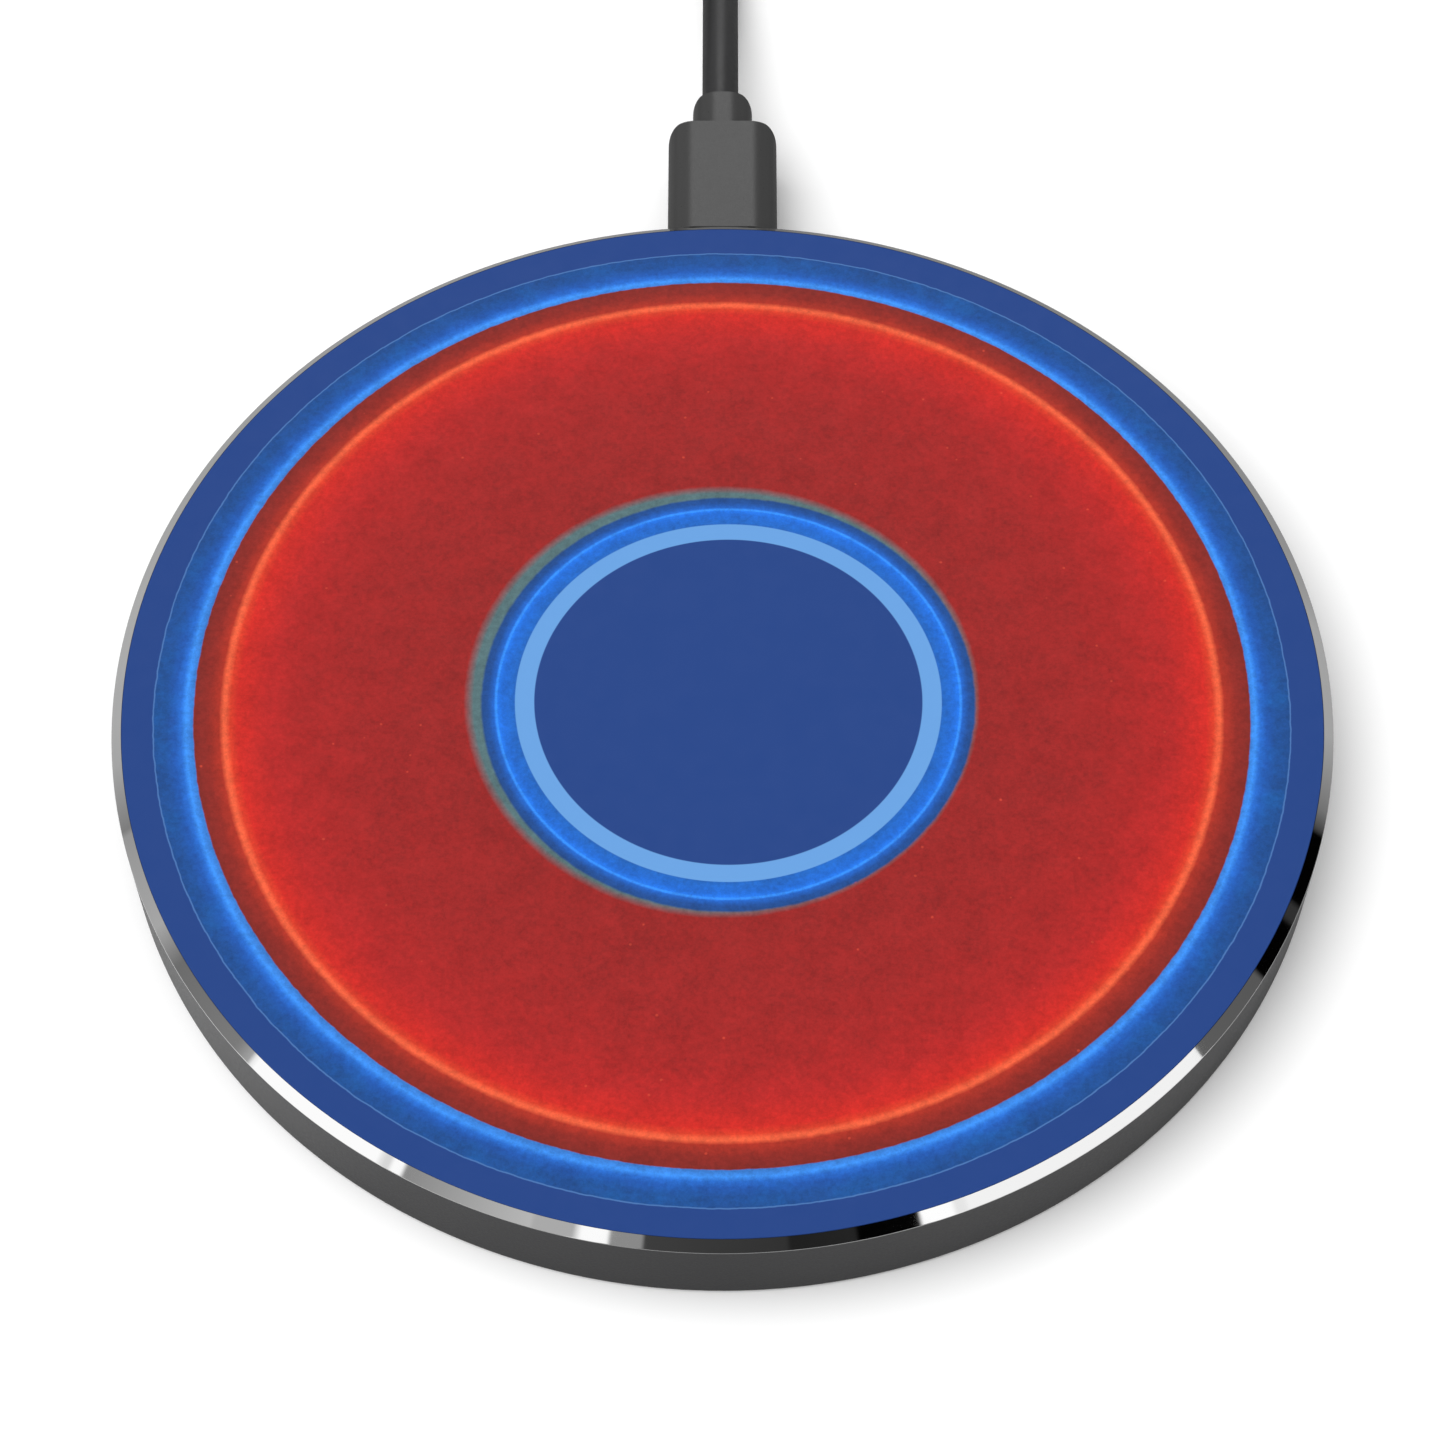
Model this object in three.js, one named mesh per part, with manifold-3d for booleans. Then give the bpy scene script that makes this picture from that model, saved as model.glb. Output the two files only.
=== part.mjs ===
// Round wireless charging pad with a detachable USB lead.
// Millimetres, +Z up. The origin is the centre of the pad on the surface that it stands on,
// and the lead leaves the pad along +Y.
import * as THREE from "three";
import { mergeVertices } from "three/addons/utils/BufferGeometryUtils.js";
import Module from "manifold-3d";

const wasm = await Module();
wasm.setup();

// Driving dimensions of the pad
const PAD_R = 50; // outside radius
const PAD_TOP = 8.2; // charging face above the table
const FOOT_PROUD = 0.3; // how far the foot ring lifts the base shell
const PANEL_R = 49.1;
const PANEL_T = 1.2;
const TAPE_T = 0.2; // adhesive ring and coil film
const BEVEL_DROP = 0.72; // height of the bezel's polished cone
const PLAY = 0.1; // clearance between pieces that slide into each other
const SEAT_GAP = 0.02; // hair gap between faces that rest on each other
const SINK = 0.5; // how far a joined feature runs into the body that it grows from
const ROUND_SEGMENTS = 72;

// Base shell
const BASE_FOOT_R = 49.8; // outside radius at the lower edge, where the wall leans in a little
const BASE_EDGE_R = 0.3; // rounding of the lower edge
const WALL_INNER_R = 48.3;
const LIP_INNER_R = 49.65; // thin lip of the wall that hides the bezel's collar
const FLOOR_TOP = 1.9;
const LEDGE_Z = 6; // underside of the bezel's ledge
const LEDGE_INNER_R = 44.5;
const FOOT_INNER_R = 37.5;
const FOOT_OUTER_R = 46.5;
const FOOT_T = 1;
const RIB_T = 1.2; // the two round ribs that carry the ferrite
const COIL_RIB_R = 22.2;
const HUB_RIB_R = 8.2;
const SPOKES = 6;
const SPOKE_T = 0.8;
const BOARD_POST_R = 2;

// Case screws, which go up through the base into bosses on the bezel
const CASE_SCREWS = 4;
const CASE_SCREW_CIRCLE_R = 43.2;
const CASE_BOSS_R = 2.4;
const CASE_BOSS_Z = 2.7;
const CASE_BOSS_HOLE_R = 1.1;
const SCREW_PAD_R = 3.2; // thick place in the base's floor that each boss stands on
const SCREW_HOLE_R = 1.15;
const HEAD_POCKET_R = 2.1;

// Transmitter coil
const FERRITE_R = 25;
const FERRITE_Z = 5;
const FERRITE_T = 0.75;
const COIL_Z = 5.85;
const WIRE = 0.92; // side of the winding's square section
const COIL_INNER_R = 10.75;
const COIL_PITCH = 1.1;
const COIL_TURNS = 10;
const STEPS_PER_TURN = 24;
const COIL_LEAD_R = 0.42;
const LEAD_SLOT_X = 2.6; // the inner lead leaves under the winding through a slot in the ferrite
const LEAD_SLOT_W = 2.8;

// Control board, a sector of a ring at the back of the pad
const BOARD_Z = 2.3;
const BOARD_T = 1;
const BOARD_TOP = BOARD_Z + BOARD_T;
const BOARD_INNER_R = 27.5;
const BOARD_OUTER_R = 47.6;
const BOARD_HALF_ANGLE = (38 * Math.PI) / 180;
const BOARD_SCREW_X = 23;
const BOARD_SCREW_Y = 36;
const BOARD_HOLE_R = 0.9;
const SOLDER_GAP = 0.03; // chips and capacitors stand this far off the board

// USB receptacle and the plug in it
const PORT_Z = 4.6; // centre height of the port
const PORT_W = 8.3; // opening in the base's wall
const PORT_H = 3.1;
const PORT_EDGE_R = 0.5;
const RECEPTACLE_W = 7.5;
const RECEPTACLE_H = 2.44;
const RECEPTACLE_BACK_Y = 43.9;
const RECEPTACLE_MOUTH_Y = 49.4;
const SHEET_T = 0.25; // sheet metal of both micro-USB shells
const PLUG_SHELL_W = 6.85;
const PLUG_SHELL_H = 1.8;
const PLUG_TIP_Y = 45.2;
const OVERMOULD_FACE_Y = 50.05;
const OVERMOULD_L = 12.4;
const OVERMOULD_W = 9.8;
const OVERMOULD_T = 5.7;
const OVERMOULD_EDGE_R = 2.2;
const OVERMOULD_CORNER_R = 1.6; // rounding of the far corners, as seen from above
const POCKET_L = 1.2; // how deep each metal shell sits in its overmould
const RELIEF_L = 4;
const RELIEF_W = 5.4;
const RELIEF_T = 4.6;
const RELIEF_EDGE_R = 2;

// Lead
const CORD_D = 3.3;
const CORD_SIDES = 8;
const STORED_CENTRE_X = -22.8; // centre of the stored coil of cable
const STORED_CENTRE_Y = 119;
const STORED_MEAN_R = 19.5;
const STORED_LAYERS = 3; // turns across and up in the stored coil
const STORED_LIFT = 0.85; // the tie under the coil lifts it this much
const TIE_T = 0.5;
const TIE_W = 8;
const TIE_ANGLE = (215 * Math.PI) / 180;

// Route of the cable's centre from the strain relief to the stored coil
const LEAD_ROUTE = [
  [-0.2, 66.8, 4.6],
  [-0.2, 71, 4.5],
  [-0.2, 76, 3.9],
  [-0.2, 82, 2.9],
  [-0.2, 88, 2.1],
  [-0.1, 94, 1.75],
  [0, 100, 1.7],
  [0, 106.4, 1.7],
];
// Route of the cable's centre from the stored coil to the USB-A plug
const TAIL_ROUTE = [
  [-35.4, 141.8, 4.8],
  [-41.5, 141.2, 3.4],
  [-47.5, 138.7, 2.2],
  [-52.6, 134.3, 1.75],
  [-56, 129, 2.3],
  [-57.1, 125.5, 3.3],
  [-57.2, 122.3, 3.85],
];

// USB-A plug, lying on its broad side and pointing along -Y
const USB_A_X = -57.2;
const USB_A_Z = 3.85;
const USB_A_RELIEF_Y = 122;
const USB_A_RELIEF_L = 4.5;
const USB_A_RELIEF_R = 2.9;
const USB_A_MOULD_L = 19;
const USB_A_MOULD_W = 15.8;
const USB_A_MOULD_T = 7.6;
const USB_A_MOULD_EDGE_R = 2;
const USB_A_SHELL_W = 12;
const USB_A_SHELL_H = 4.5;
const USB_A_SHELL_OUT = 12; // visible length of the metal shell
const USB_A_SHEET_T = 0.3;
const USB_A_CONTACTS = 4;
const USB_A_CONTACT_PITCH = 2.25;
const USB_A_WINDOW = 2.5; // side of the square windows in the metal shell

// What stands on the board: name, centre X and Y, width, depth, height and look
const BOARD_PARTS = [
  ["controller_chip", 0, 34, 5, 5, 0.9, "chip"],
  ["bridge_chip_1", -9, 34.5, 3.4, 3.4, 0.8, "chip"],
  ["bridge_chip_2", -9, 39.5, 3.4, 3.4, 0.8, "chip"],
  ["resonant_capacitor_1", 11.5, 31, 3.2, 1.7, 1.5, "ceramic"],
  ["resonant_capacitor_2", 11.5, 33.5, 3.2, 1.7, 1.5, "ceramic"],
  ["resonant_capacitor_3", 11.5, 36, 3.2, 1.7, 1.5, "ceramic"],
  ["resonant_capacitor_4", 11.5, 38.5, 3.2, 1.7, 1.5, "ceramic"],
  ["input_capacitor_1", -7.6, 43.9, 3.2, 2.5, 1.8, "ceramic"],
  ["input_capacitor_2", 7.6, 43.9, 3.2, 2.5, 1.8, "ceramic"],
  ["power_inductor", -17, 33.5, 5, 5, 2.4, "ferrite"],
  ["clock_crystal", -0.5, 39.6, 3.2, 2.5, 0.8, "tin"],
  ["sense_resistor", 5, 39.6, 3.2, 1.6, 0.6, "chip"],
];

const charger = new THREE.Group();

function material(colour, roughness, metalness) {
  return new THREE.MeshStandardMaterial({ color: colour, roughness, metalness });
}

const materials = {
  print: () => material(0x2f4c8e, 0.55, 0),
  chrome: () => material(0xd8d8dc, 0.08, 1),
  darkPlastic: () => material(0x404041, 0.6, 0),
  silicone: () => material(0x2b2b2c, 0.8, 0),
  steel: () => material(0xb8b8ba, 0.3, 1),
  ferrite: () => material(0x35322f, 0.75, 0),
  copper: () => material(0xb06a3a, 0.35, 1),
  film: () => material(0xe6d9a8, 0.6, 0),
  board: () => material(0x1d5c3a, 0.5, 0),
  chip: () => material(0x1b1b1d, 0.6, 0),
  ceramic: () => material(0xa98e6c, 0.5, 0),
  tin: () => material(0xc9c9c4, 0.35, 1),
  blackInsulator: () => material(0x151515, 0.55, 0),
  whiteInsulator: () => material(0xe8e8e4, 0.5, 0),
  gold: () => material(0xd8b04c, 0.25, 1),
  overmould: () => material(0x484848, 0.62, 0),
  cable: () => material(0x414141, 0.65, 0),
  strap: () => material(0x202022, 0.9, 0),
};

// Position-only geometry with shared vertices, as the boolean library wants it
function welded(geometry) {
  const bare = new THREE.BufferGeometry();
  const source = geometry.index ? geometry.toNonIndexed() : geometry;
  bare.setAttribute("position", source.getAttribute("position"));
  return mergeVertices(bare, 1e-4);
}

function toSolid(geometry) {
  const merged = welded(geometry);
  return new wasm.Manifold(
    new wasm.Mesh({
      numProp: 3,
      vertProperties: merged.attributes.position.array,
      triVerts: new Uint32Array(merged.index.array),
    }),
  );
}

function toGeometry(solid) {
  const mesh = solid.getMesh();
  const geometry = new THREE.BufferGeometry();
  geometry.setAttribute("position", new THREE.BufferAttribute(mesh.vertProperties, 3));
  geometry.setIndex(new THREE.BufferAttribute(mesh.triVerts, 1));
  geometry.computeVertexNormals();
  return geometry;
}

function addPart(name, geometry, look) {
  const mesh = new THREE.Mesh(geometry, look());
  mesh.name = name;
  charger.add(mesh);
  return mesh;
}

function joined(geometries) {
  return geometries.map(toSolid).reduce((whole, piece) => whole.add(piece));
}

function cutBy(solid, geometries) {
  return geometries.map(toSolid).reduce((rest, cutter) => rest.subtract(cutter), solid);
}

// Signed area of a closed outline of [r, z] points
function signedArea(outline) {
  return outline.reduce((sum, [r, z], i) => {
    const [nextR, nextZ] = outline[(i + 1) % outline.length];
    return sum + (r * nextZ - nextR * z) / 2;
  }, 0);
}

// A turned piece: the outline's [r, z] points go round the section, and close on the axis or on themselves
function turned(outline, segments = ROUND_SEGMENTS) {
  const ordered = signedArea(outline) > 0 ? outline : [...outline].reverse();
  const first = ordered.findIndex(([r], i) => {
    const [previousR] = ordered[(i + ordered.length - 1) % ordered.length];
    return r === 0 && previousR === 0;
  });
  const onAxis = first >= 0;
  const start = onAxis ? first : 0;
  const points = ordered.map((_, i) => ordered[(start + i) % ordered.length]);
  if (!onAxis) points.push(points[0]);
  const geometry = new THREE.LatheGeometry(
    points.map(([r, z]) => new THREE.Vector2(r, z)),
    segments,
  );
  return geometry.rotateX(Math.PI / 2);
}

function disc(radius, bottom, top, x = 0, y = 0, segments = 24) {
  const outline = [
    [0, bottom],
    [radius, bottom],
    [radius, top],
    [0, top],
  ];
  return turned(outline, segments).translate(x, y, 0);
}

function ring(innerR, outerR, bottom, top, segments = ROUND_SEGMENTS) {
  const outline = [
    [innerR, bottom],
    [outerR, bottom],
    [outerR, top],
    [innerR, top],
  ];
  return turned(outline, segments);
}

// A box given by its lowest and highest corners
function block(low, high) {
  const size = high.map((value, i) => value - low[i]);
  const middle = high.map((value, i) => (value + low[i]) / 2);
  return new THREE.BoxGeometry(...size).translate(...middle);
}

function rectangle(width, height) {
  const [x, y] = [width / 2, height / 2];
  return new THREE.Shape([
    new THREE.Vector2(-x, -y),
    new THREE.Vector2(x, -y),
    new THREE.Vector2(x, y),
    new THREE.Vector2(-x, y),
  ]);
}

function roundedRectangle(width, height, radius) {
  const shape = new THREE.Shape();
  const x = width / 2;
  const y = height / 2;
  shape.moveTo(-x + radius, -y);
  shape.lineTo(x - radius, -y);
  shape.absarc(x - radius, -y + radius, radius, -Math.PI / 2, 0, false);
  shape.lineTo(x, y - radius);
  shape.absarc(x - radius, y - radius, radius, 0, Math.PI / 2, false);
  shape.lineTo(-x + radius, y);
  shape.absarc(-x + radius, y - radius, radius, Math.PI / 2, Math.PI, false);
  shape.lineTo(-x, -y + radius);
  shape.absarc(-x + radius, -y + radius, radius, Math.PI, (3 * Math.PI) / 2, false);
  return shape;
}

// A bar of the shape's section from nearY to farY, its section upright in the XZ plane
function barAlongY(shape, nearY, farY, x, z, curveSegments = 5) {
  const geometry = new THREE.ExtrudeGeometry(shape, {
    depth: farY - nearY,
    bevelEnabled: false,
    curveSegments,
  });
  return geometry.rotateX(Math.PI / 2).translate(x, farY, z);
}

function tube(route, radius, sides, steps) {
  const curve = new THREE.CatmullRomCurve3(
    route.map((point) => new THREE.Vector3(...point)),
    false,
    "centripetal",
  );
  const section = new THREE.Shape();
  for (let i = 0; i < sides; i++) {
    const angle = (2 * Math.PI * i) / sides;
    const x = radius * Math.cos(angle);
    const y = radius * Math.sin(angle);
    if (i === 0) section.moveTo(x, y);
    else section.lineTo(x, y);
  }
  section.closePath();
  return new THREE.ExtrudeGeometry(section, { steps, extrudePath: curve, bevelEnabled: false });
}

// Where the case screws stand, at 45 degrees to the lead
function caseScrewPlaces() {
  return Array.from({ length: CASE_SCREWS }, (_, i) => {
    const angle = ((i + 0.5) * 2 * Math.PI) / CASE_SCREWS;
    return [CASE_SCREW_CIRCLE_R * Math.cos(angle), CASE_SCREW_CIRCLE_R * Math.sin(angle)];
  });
}

function topPanel() {
  const edge = 0.1;
  const bottom = PAD_TOP - PANEL_T;
  const outline = [
    [0, bottom],
    [PANEL_R, bottom],
    [PANEL_R, PAD_TOP - edge],
    [PANEL_R - edge, PAD_TOP],
    [0, PAD_TOP],
  ];
  addPart("top_panel", turned(outline), materials.print);
}

function panelAdhesive() {
  const top = PAD_TOP - PANEL_T - SEAT_GAP;
  const bottom = PAD_TOP - PANEL_T - TAPE_T + SEAT_GAP;
  const inner = LEDGE_INNER_R + 0.5;
  const outer = PANEL_R - 0.3;
  addPart("panel_adhesive_ring", ring(inner, outer, bottom, top), materials.film);
}

// Polished cone outside, a collar round the panel, the ledge under it and four screw bosses
function bezelRing() {
  const inner = PANEL_R + PLAY;
  const collar = LIP_INNER_R - PLAY;
  const coneFoot = PAD_TOP - BEVEL_DROP;
  const ledgeTop = PAD_TOP - PANEL_T - TAPE_T;
  const lipTop = PAD_TOP - 0.02;
  const outline = [
    [inner, lipTop],
    [inner + 0.15, lipTop - 0.04],
    [PAD_R, coneFoot],
    [PAD_R, coneFoot - PLAY],
    [collar, coneFoot - PLAY],
    [collar, LEDGE_Z],
    [LEDGE_INNER_R, LEDGE_Z],
    [LEDGE_INNER_R, ledgeTop],
    [inner, ledgeTop],
  ];
  const bosses = caseScrewPlaces().map(([x, y]) => disc(CASE_BOSS_R, CASE_BOSS_Z, LEDGE_Z + SINK, x, y));
  const holes = caseScrewPlaces().map(([x, y]) =>
    disc(CASE_BOSS_HOLE_R, CASE_BOSS_Z - 1, LEDGE_Z - 0.2, x, y, 16),
  );
  const solid = cutBy(joined([turned(outline), ...bosses]), holes);
  addPart("bezel_ring", toGeometry(solid), materials.chrome);
}

function baseOutline() {
  const lipTop = PAD_TOP - BEVEL_DROP - PLAY - SEAT_GAP;
  const grooveTop = FOOT_T + 0.05;
  const edge = [];
  const steps = 3;
  for (let i = 0; i <= steps; i++) {
    const angle = ((i / steps) * Math.PI) / 2;
    edge.push([
      BASE_FOOT_R - BASE_EDGE_R + BASE_EDGE_R * Math.sin(angle),
      FOOT_PROUD + BASE_EDGE_R - BASE_EDGE_R * Math.cos(angle),
    ]);
  }
  return [
    [0, FOOT_PROUD],
    [FOOT_INNER_R - PLAY, FOOT_PROUD],
    [FOOT_INNER_R - PLAY, grooveTop],
    [FOOT_OUTER_R + PLAY, grooveTop],
    [FOOT_OUTER_R + PLAY, FOOT_PROUD],
    ...edge,
    [PAD_R, lipTop],
    [LIP_INNER_R, lipTop],
    [LIP_INNER_R, LEDGE_Z - PLAY],
    [WALL_INNER_R, LEDGE_Z - PLAY],
    [WALL_INNER_R, FLOOR_TOP],
    [0, FLOOR_TOP],
  ];
}

function baseShell() {
  const ribTop = FERRITE_Z - 0.05;
  const inFloor = FLOOR_TOP - SINK;
  const spokes = Array.from({ length: SPOKES }, (_, i) => {
    const spoke = block([HUB_RIB_R - SINK, -SPOKE_T / 2, inFloor], [COIL_RIB_R - SINK, SPOKE_T / 2, ribTop]);
    return spoke.rotateZ((2 * Math.PI * i) / SPOKES);
  });
  const screwPads = caseScrewPlaces().map(([x, y]) => disc(SCREW_PAD_R, inFloor, CASE_BOSS_Z - PLAY, x, y));
  const boardPosts = [-1, 1].map((side) =>
    disc(BOARD_POST_R, inFloor, BOARD_Z - SEAT_GAP, side * BOARD_SCREW_X, BOARD_SCREW_Y, 16),
  );
  const body = joined([
    turned(baseOutline()),
    ring(COIL_RIB_R - RIB_T, COIL_RIB_R, inFloor, ribTop, 48),
    ring(HUB_RIB_R - RIB_T, HUB_RIB_R, inFloor, ribTop, 32),
    ...spokes,
    ...screwPads,
    ...boardPosts,
  ]);
  const headPockets = caseScrewPlaces().map(([x, y]) => disc(HEAD_POCKET_R, 0, FLOOR_TOP, x, y, 20));
  const screwHoles = caseScrewPlaces().map(([x, y]) => disc(SCREW_HOLE_R, 0, CASE_BOSS_Z + 1, x, y, 16));
  const boardHoles = [-1, 1].map((side) =>
    disc(BOARD_HOLE_R - 0.05, FOOT_T + 0.1, BOARD_Z + 1, side * BOARD_SCREW_X, BOARD_SCREW_Y, 12),
  );
  const leadChannel = block([-2, HUB_RIB_R - 3, FLOOR_TOP], [4.2, COIL_RIB_R + 1, FERRITE_Z + 1]);
  const portShape = roundedRectangle(PORT_W, PORT_H, PORT_EDGE_R);
  const port = barAlongY(portShape, WALL_INNER_R - 2, PAD_R + 1, 0, PORT_Z);
  const solid = cutBy(body, [...headPockets, ...screwHoles, ...boardHoles, leadChannel, port]);
  addPart("base_shell", toGeometry(solid), materials.darkPlastic);
}

function footRing() {
  addPart("foot_ring", ring(FOOT_INNER_R, FOOT_OUTER_R, 0, FOOT_T), materials.silicone);
}

// Self-tapping screw along +Z with its head at headZ and a cross recess in the head
function screw(headR, headT, shankR, headZ, length) {
  const outline = [
    [0, headZ],
    [headR * 0.8, headZ],
    [headR, headZ + headT * 0.4],
    [headR, headZ + headT],
    [shankR, headZ + headT],
    [shankR, headZ + length - shankR],
    [shankR * 0.3, headZ + length],
    [0, headZ + length],
  ];
  const arm = headR * 0.6;
  const slot = headR * 0.13;
  const depth = headZ + headT * 0.6;
  const recess = [
    block([-arm, -slot, headZ - 1], [arm, slot, depth]),
    block([-slot, -arm, headZ - 1], [slot, arm, depth]),
  ];
  return toGeometry(cutBy(toSolid(turned(outline, 12)), recess));
}

function caseScrews() {
  caseScrewPlaces().forEach(([x, y], i) => {
    const geometry = screw(1.9, 0.75, 1, FOOT_T + 0.1, 4.4);
    addPart(`case_screw_${i + 1}`, geometry.translate(x, y, 0), materials.steel);
  });
}

function boardScrews() {
  [-1, 1].forEach((side, i) => {
    const geometry = screw(1.4, 0.5, 0.75, 0, 2.6).rotateX(Math.PI);
    geometry.translate(side * BOARD_SCREW_X, BOARD_SCREW_Y, BOARD_TOP + 0.55);
    addPart(`board_screw_${i + 1}`, geometry, materials.steel);
  });
}

function ferriteShield() {
  const plate = disc(FERRITE_R, FERRITE_Z, FERRITE_Z + FERRITE_T, 0, 0, 64);
  const half = LEAD_SLOT_W / 2;
  const slot = block([LEAD_SLOT_X - half, 7.5, 0], [LEAD_SLOT_X + half, FERRITE_R + 1, PAD_TOP]);
  addPart("ferrite_shield", toGeometry(cutBy(toSolid(plate), [slot])), materials.ferrite);
}

// Flat spiral winding that starts and ends on the +Y side
class SpiralCurve extends THREE.Curve {
  getPoint(t, target = new THREE.Vector3()) {
    const radius = COIL_INNER_R + COIL_PITCH * COIL_TURNS * t;
    const angle = Math.PI / 2 + 2 * Math.PI * COIL_TURNS * t;
    return target.set(radius * Math.cos(angle), radius * Math.sin(angle), COIL_Z + WIRE / 2);
  }
}

function chargingCoil() {
  const path = new SpiralCurve();
  path.arcLengthDivisions = COIL_TURNS * STEPS_PER_TURN * 4;
  const geometry = new THREE.ExtrudeGeometry(rectangle(WIRE, WIRE), {
    steps: COIL_TURNS * STEPS_PER_TURN,
    extrudePath: path,
    bevelEnabled: false,
  });
  addPart("charging_coil", geometry, materials.copper);
}

function coilLeads() {
  const top = COIL_Z + WIRE / 2;
  const outerEnd = COIL_INNER_R + COIL_PITCH * COIL_TURNS;
  const underZ = FERRITE_Z + 0.05;
  const padZ = BOARD_TOP + COIL_LEAD_R + 0.05;
  const outerRoute = [
    [-0.35, outerEnd, top],
    [-2, outerEnd + 0.6, top],
    [-3.6, outerEnd + 2, top],
    [-4.1, FERRITE_R + 0.7, top - 0.2],
    [-4.2, FERRITE_R + 2.2, top - 1.3],
    [-4.2, BOARD_INNER_R + 1.2, padZ + 0.2],
    [-4.2, BOARD_INNER_R + 3, padZ],
  ];
  const innerRoute = [
    [0.3, COIL_INNER_R, top],
    [1.2, COIL_INNER_R - 0.45, top],
    [2.1, COIL_INNER_R - 0.95, top - 0.35],
    [2.7, COIL_INNER_R - 0.7, underZ + 0.35],
    [LEAD_SLOT_X, COIL_INNER_R + 0.5, underZ],
    [LEAD_SLOT_X, COIL_INNER_R + 6, underZ],
    [LEAD_SLOT_X, FERRITE_R - 1.5, underZ],
    [3.4, BOARD_INNER_R - 0.5, padZ + 0.7],
    [4, BOARD_INNER_R + 1.5, padZ],
    [4, BOARD_INNER_R + 3, padZ],
  ];
  addPart("coil_lead_outer", tube(outerRoute, COIL_LEAD_R, 6, 16), materials.copper);
  addPart("coil_lead_inner", tube(innerRoute, COIL_LEAD_R, 6, 24), materials.copper);
}

function coilFilm() {
  const top = PAD_TOP - PANEL_T - SEAT_GAP;
  const bottom = COIL_Z + WIRE + SEAT_GAP;
  addPart("coil_film", ring(COIL_INNER_R - 2.2, FERRITE_R - 1.5, bottom, top, 64), materials.film);
}

function temperatureSensor() {
  const z = FERRITE_Z - 0.75;
  addPart("temperature_sensor", disc(1.1, z - 0.55, z + 0.55, 0, 4.6, 16), materials.chip);
  const route = [
    [0, 6, z],
    [0, 12, z - 0.2],
    [0, 20, z - 0.3],
    [0, 25.5, BOARD_TOP + 0.7],
    [0, BOARD_INNER_R + 1.6, BOARD_TOP + 0.4],
  ];
  addPart("temperature_sensor_lead", tube(route, 0.34, 6, 16), materials.blackInsulator);
}

function controlBoard() {
  const near = Math.PI / 2 - BOARD_HALF_ANGLE;
  const far = Math.PI / 2 + BOARD_HALF_ANGLE;
  const shape = new THREE.Shape();
  shape.absarc(0, 0, BOARD_OUTER_R, near, far, false);
  shape.absarc(0, 0, BOARD_INNER_R, far, near, true);
  shape.closePath();
  for (const side of [-1, 1]) {
    const hole = new THREE.Path();
    hole.absarc(side * BOARD_SCREW_X, BOARD_SCREW_Y, BOARD_HOLE_R, 0, 2 * Math.PI, true);
    shape.holes.push(hole);
  }
  const geometry = new THREE.ExtrudeGeometry(shape, {
    depth: BOARD_T,
    bevelEnabled: false,
    curveSegments: 12,
  });
  addPart("control_board", geometry.translate(0, 0, BOARD_Z), materials.board);
}

// A chip or passive part that stands on the board, with a small bevel round its top
function boardPart(name, x, y, width, depth, height, look) {
  const bevel = 0.12;
  const geometry = new THREE.ExtrudeGeometry(rectangle(width - 2 * bevel, depth - 2 * bevel), {
    depth: height - 2 * bevel,
    bevelThickness: bevel,
    bevelSize: bevel,
    bevelSegments: 1,
  });
  addPart(name, geometry.translate(x, y, BOARD_TOP + SOLDER_GAP + bevel), look);
}

function boardParts() {
  for (const [name, x, y, width, depth, height, look] of BOARD_PARTS) {
    boardPart(name, x, y, width, depth, height, materials[look]);
  }
}

function rectangularSleeve(width, height, wall, nearY, farY, x, z, radius) {
  const shape = roundedRectangle(width, height, radius);
  const inside = roundedRectangle(width - 2 * wall, height - 2 * wall, Math.max(radius - wall, 0.05));
  shape.holes.push(new THREE.Path(inside.getPoints(3).reverse()));
  return barAlongY(shape, nearY, farY, x, z, 3);
}

function usbReceptacle() {
  const shell = rectangularSleeve(
    RECEPTACLE_W,
    RECEPTACLE_H,
    SHEET_T - 0.02,
    RECEPTACLE_BACK_Y,
    RECEPTACLE_MOUTH_Y,
    0,
    PORT_Z,
    0.6,
  );
  addPart("usb_receptacle_shell", shell, materials.steel);
  const back = block([-3.3, RECEPTACLE_BACK_Y, PORT_Z - 0.9], [3.3, PLUG_TIP_Y - 0.3, PORT_Z + 0.9]);
  const tongue = block([-1.85, RECEPTACLE_BACK_Y + 0.5, PORT_Z + 0.05], [1.85, RECEPTACLE_MOUTH_Y - 0.9, PORT_Z + 0.45]);
  addPart("usb_receptacle_insulator", toGeometry(joined([back, tongue])), materials.blackInsulator);
}

function microUsbPlug() {
  const shellEnd = OVERMOULD_FACE_Y + POCKET_L - 0.05;
  const shell = rectangularSleeve(PLUG_SHELL_W, PLUG_SHELL_H, SHEET_T, PLUG_TIP_Y, shellEnd, 0, PORT_Z, 0.45);
  addPart("micro_usb_shell", shell, materials.steel);
  const insert = block([-2.9, PLUG_TIP_Y + 0.3, PORT_Z - 0.58], [2.9, shellEnd, PORT_Z - 0.12]);
  addPart("micro_usb_insert", insert, materials.blackInsulator);
}

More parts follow.
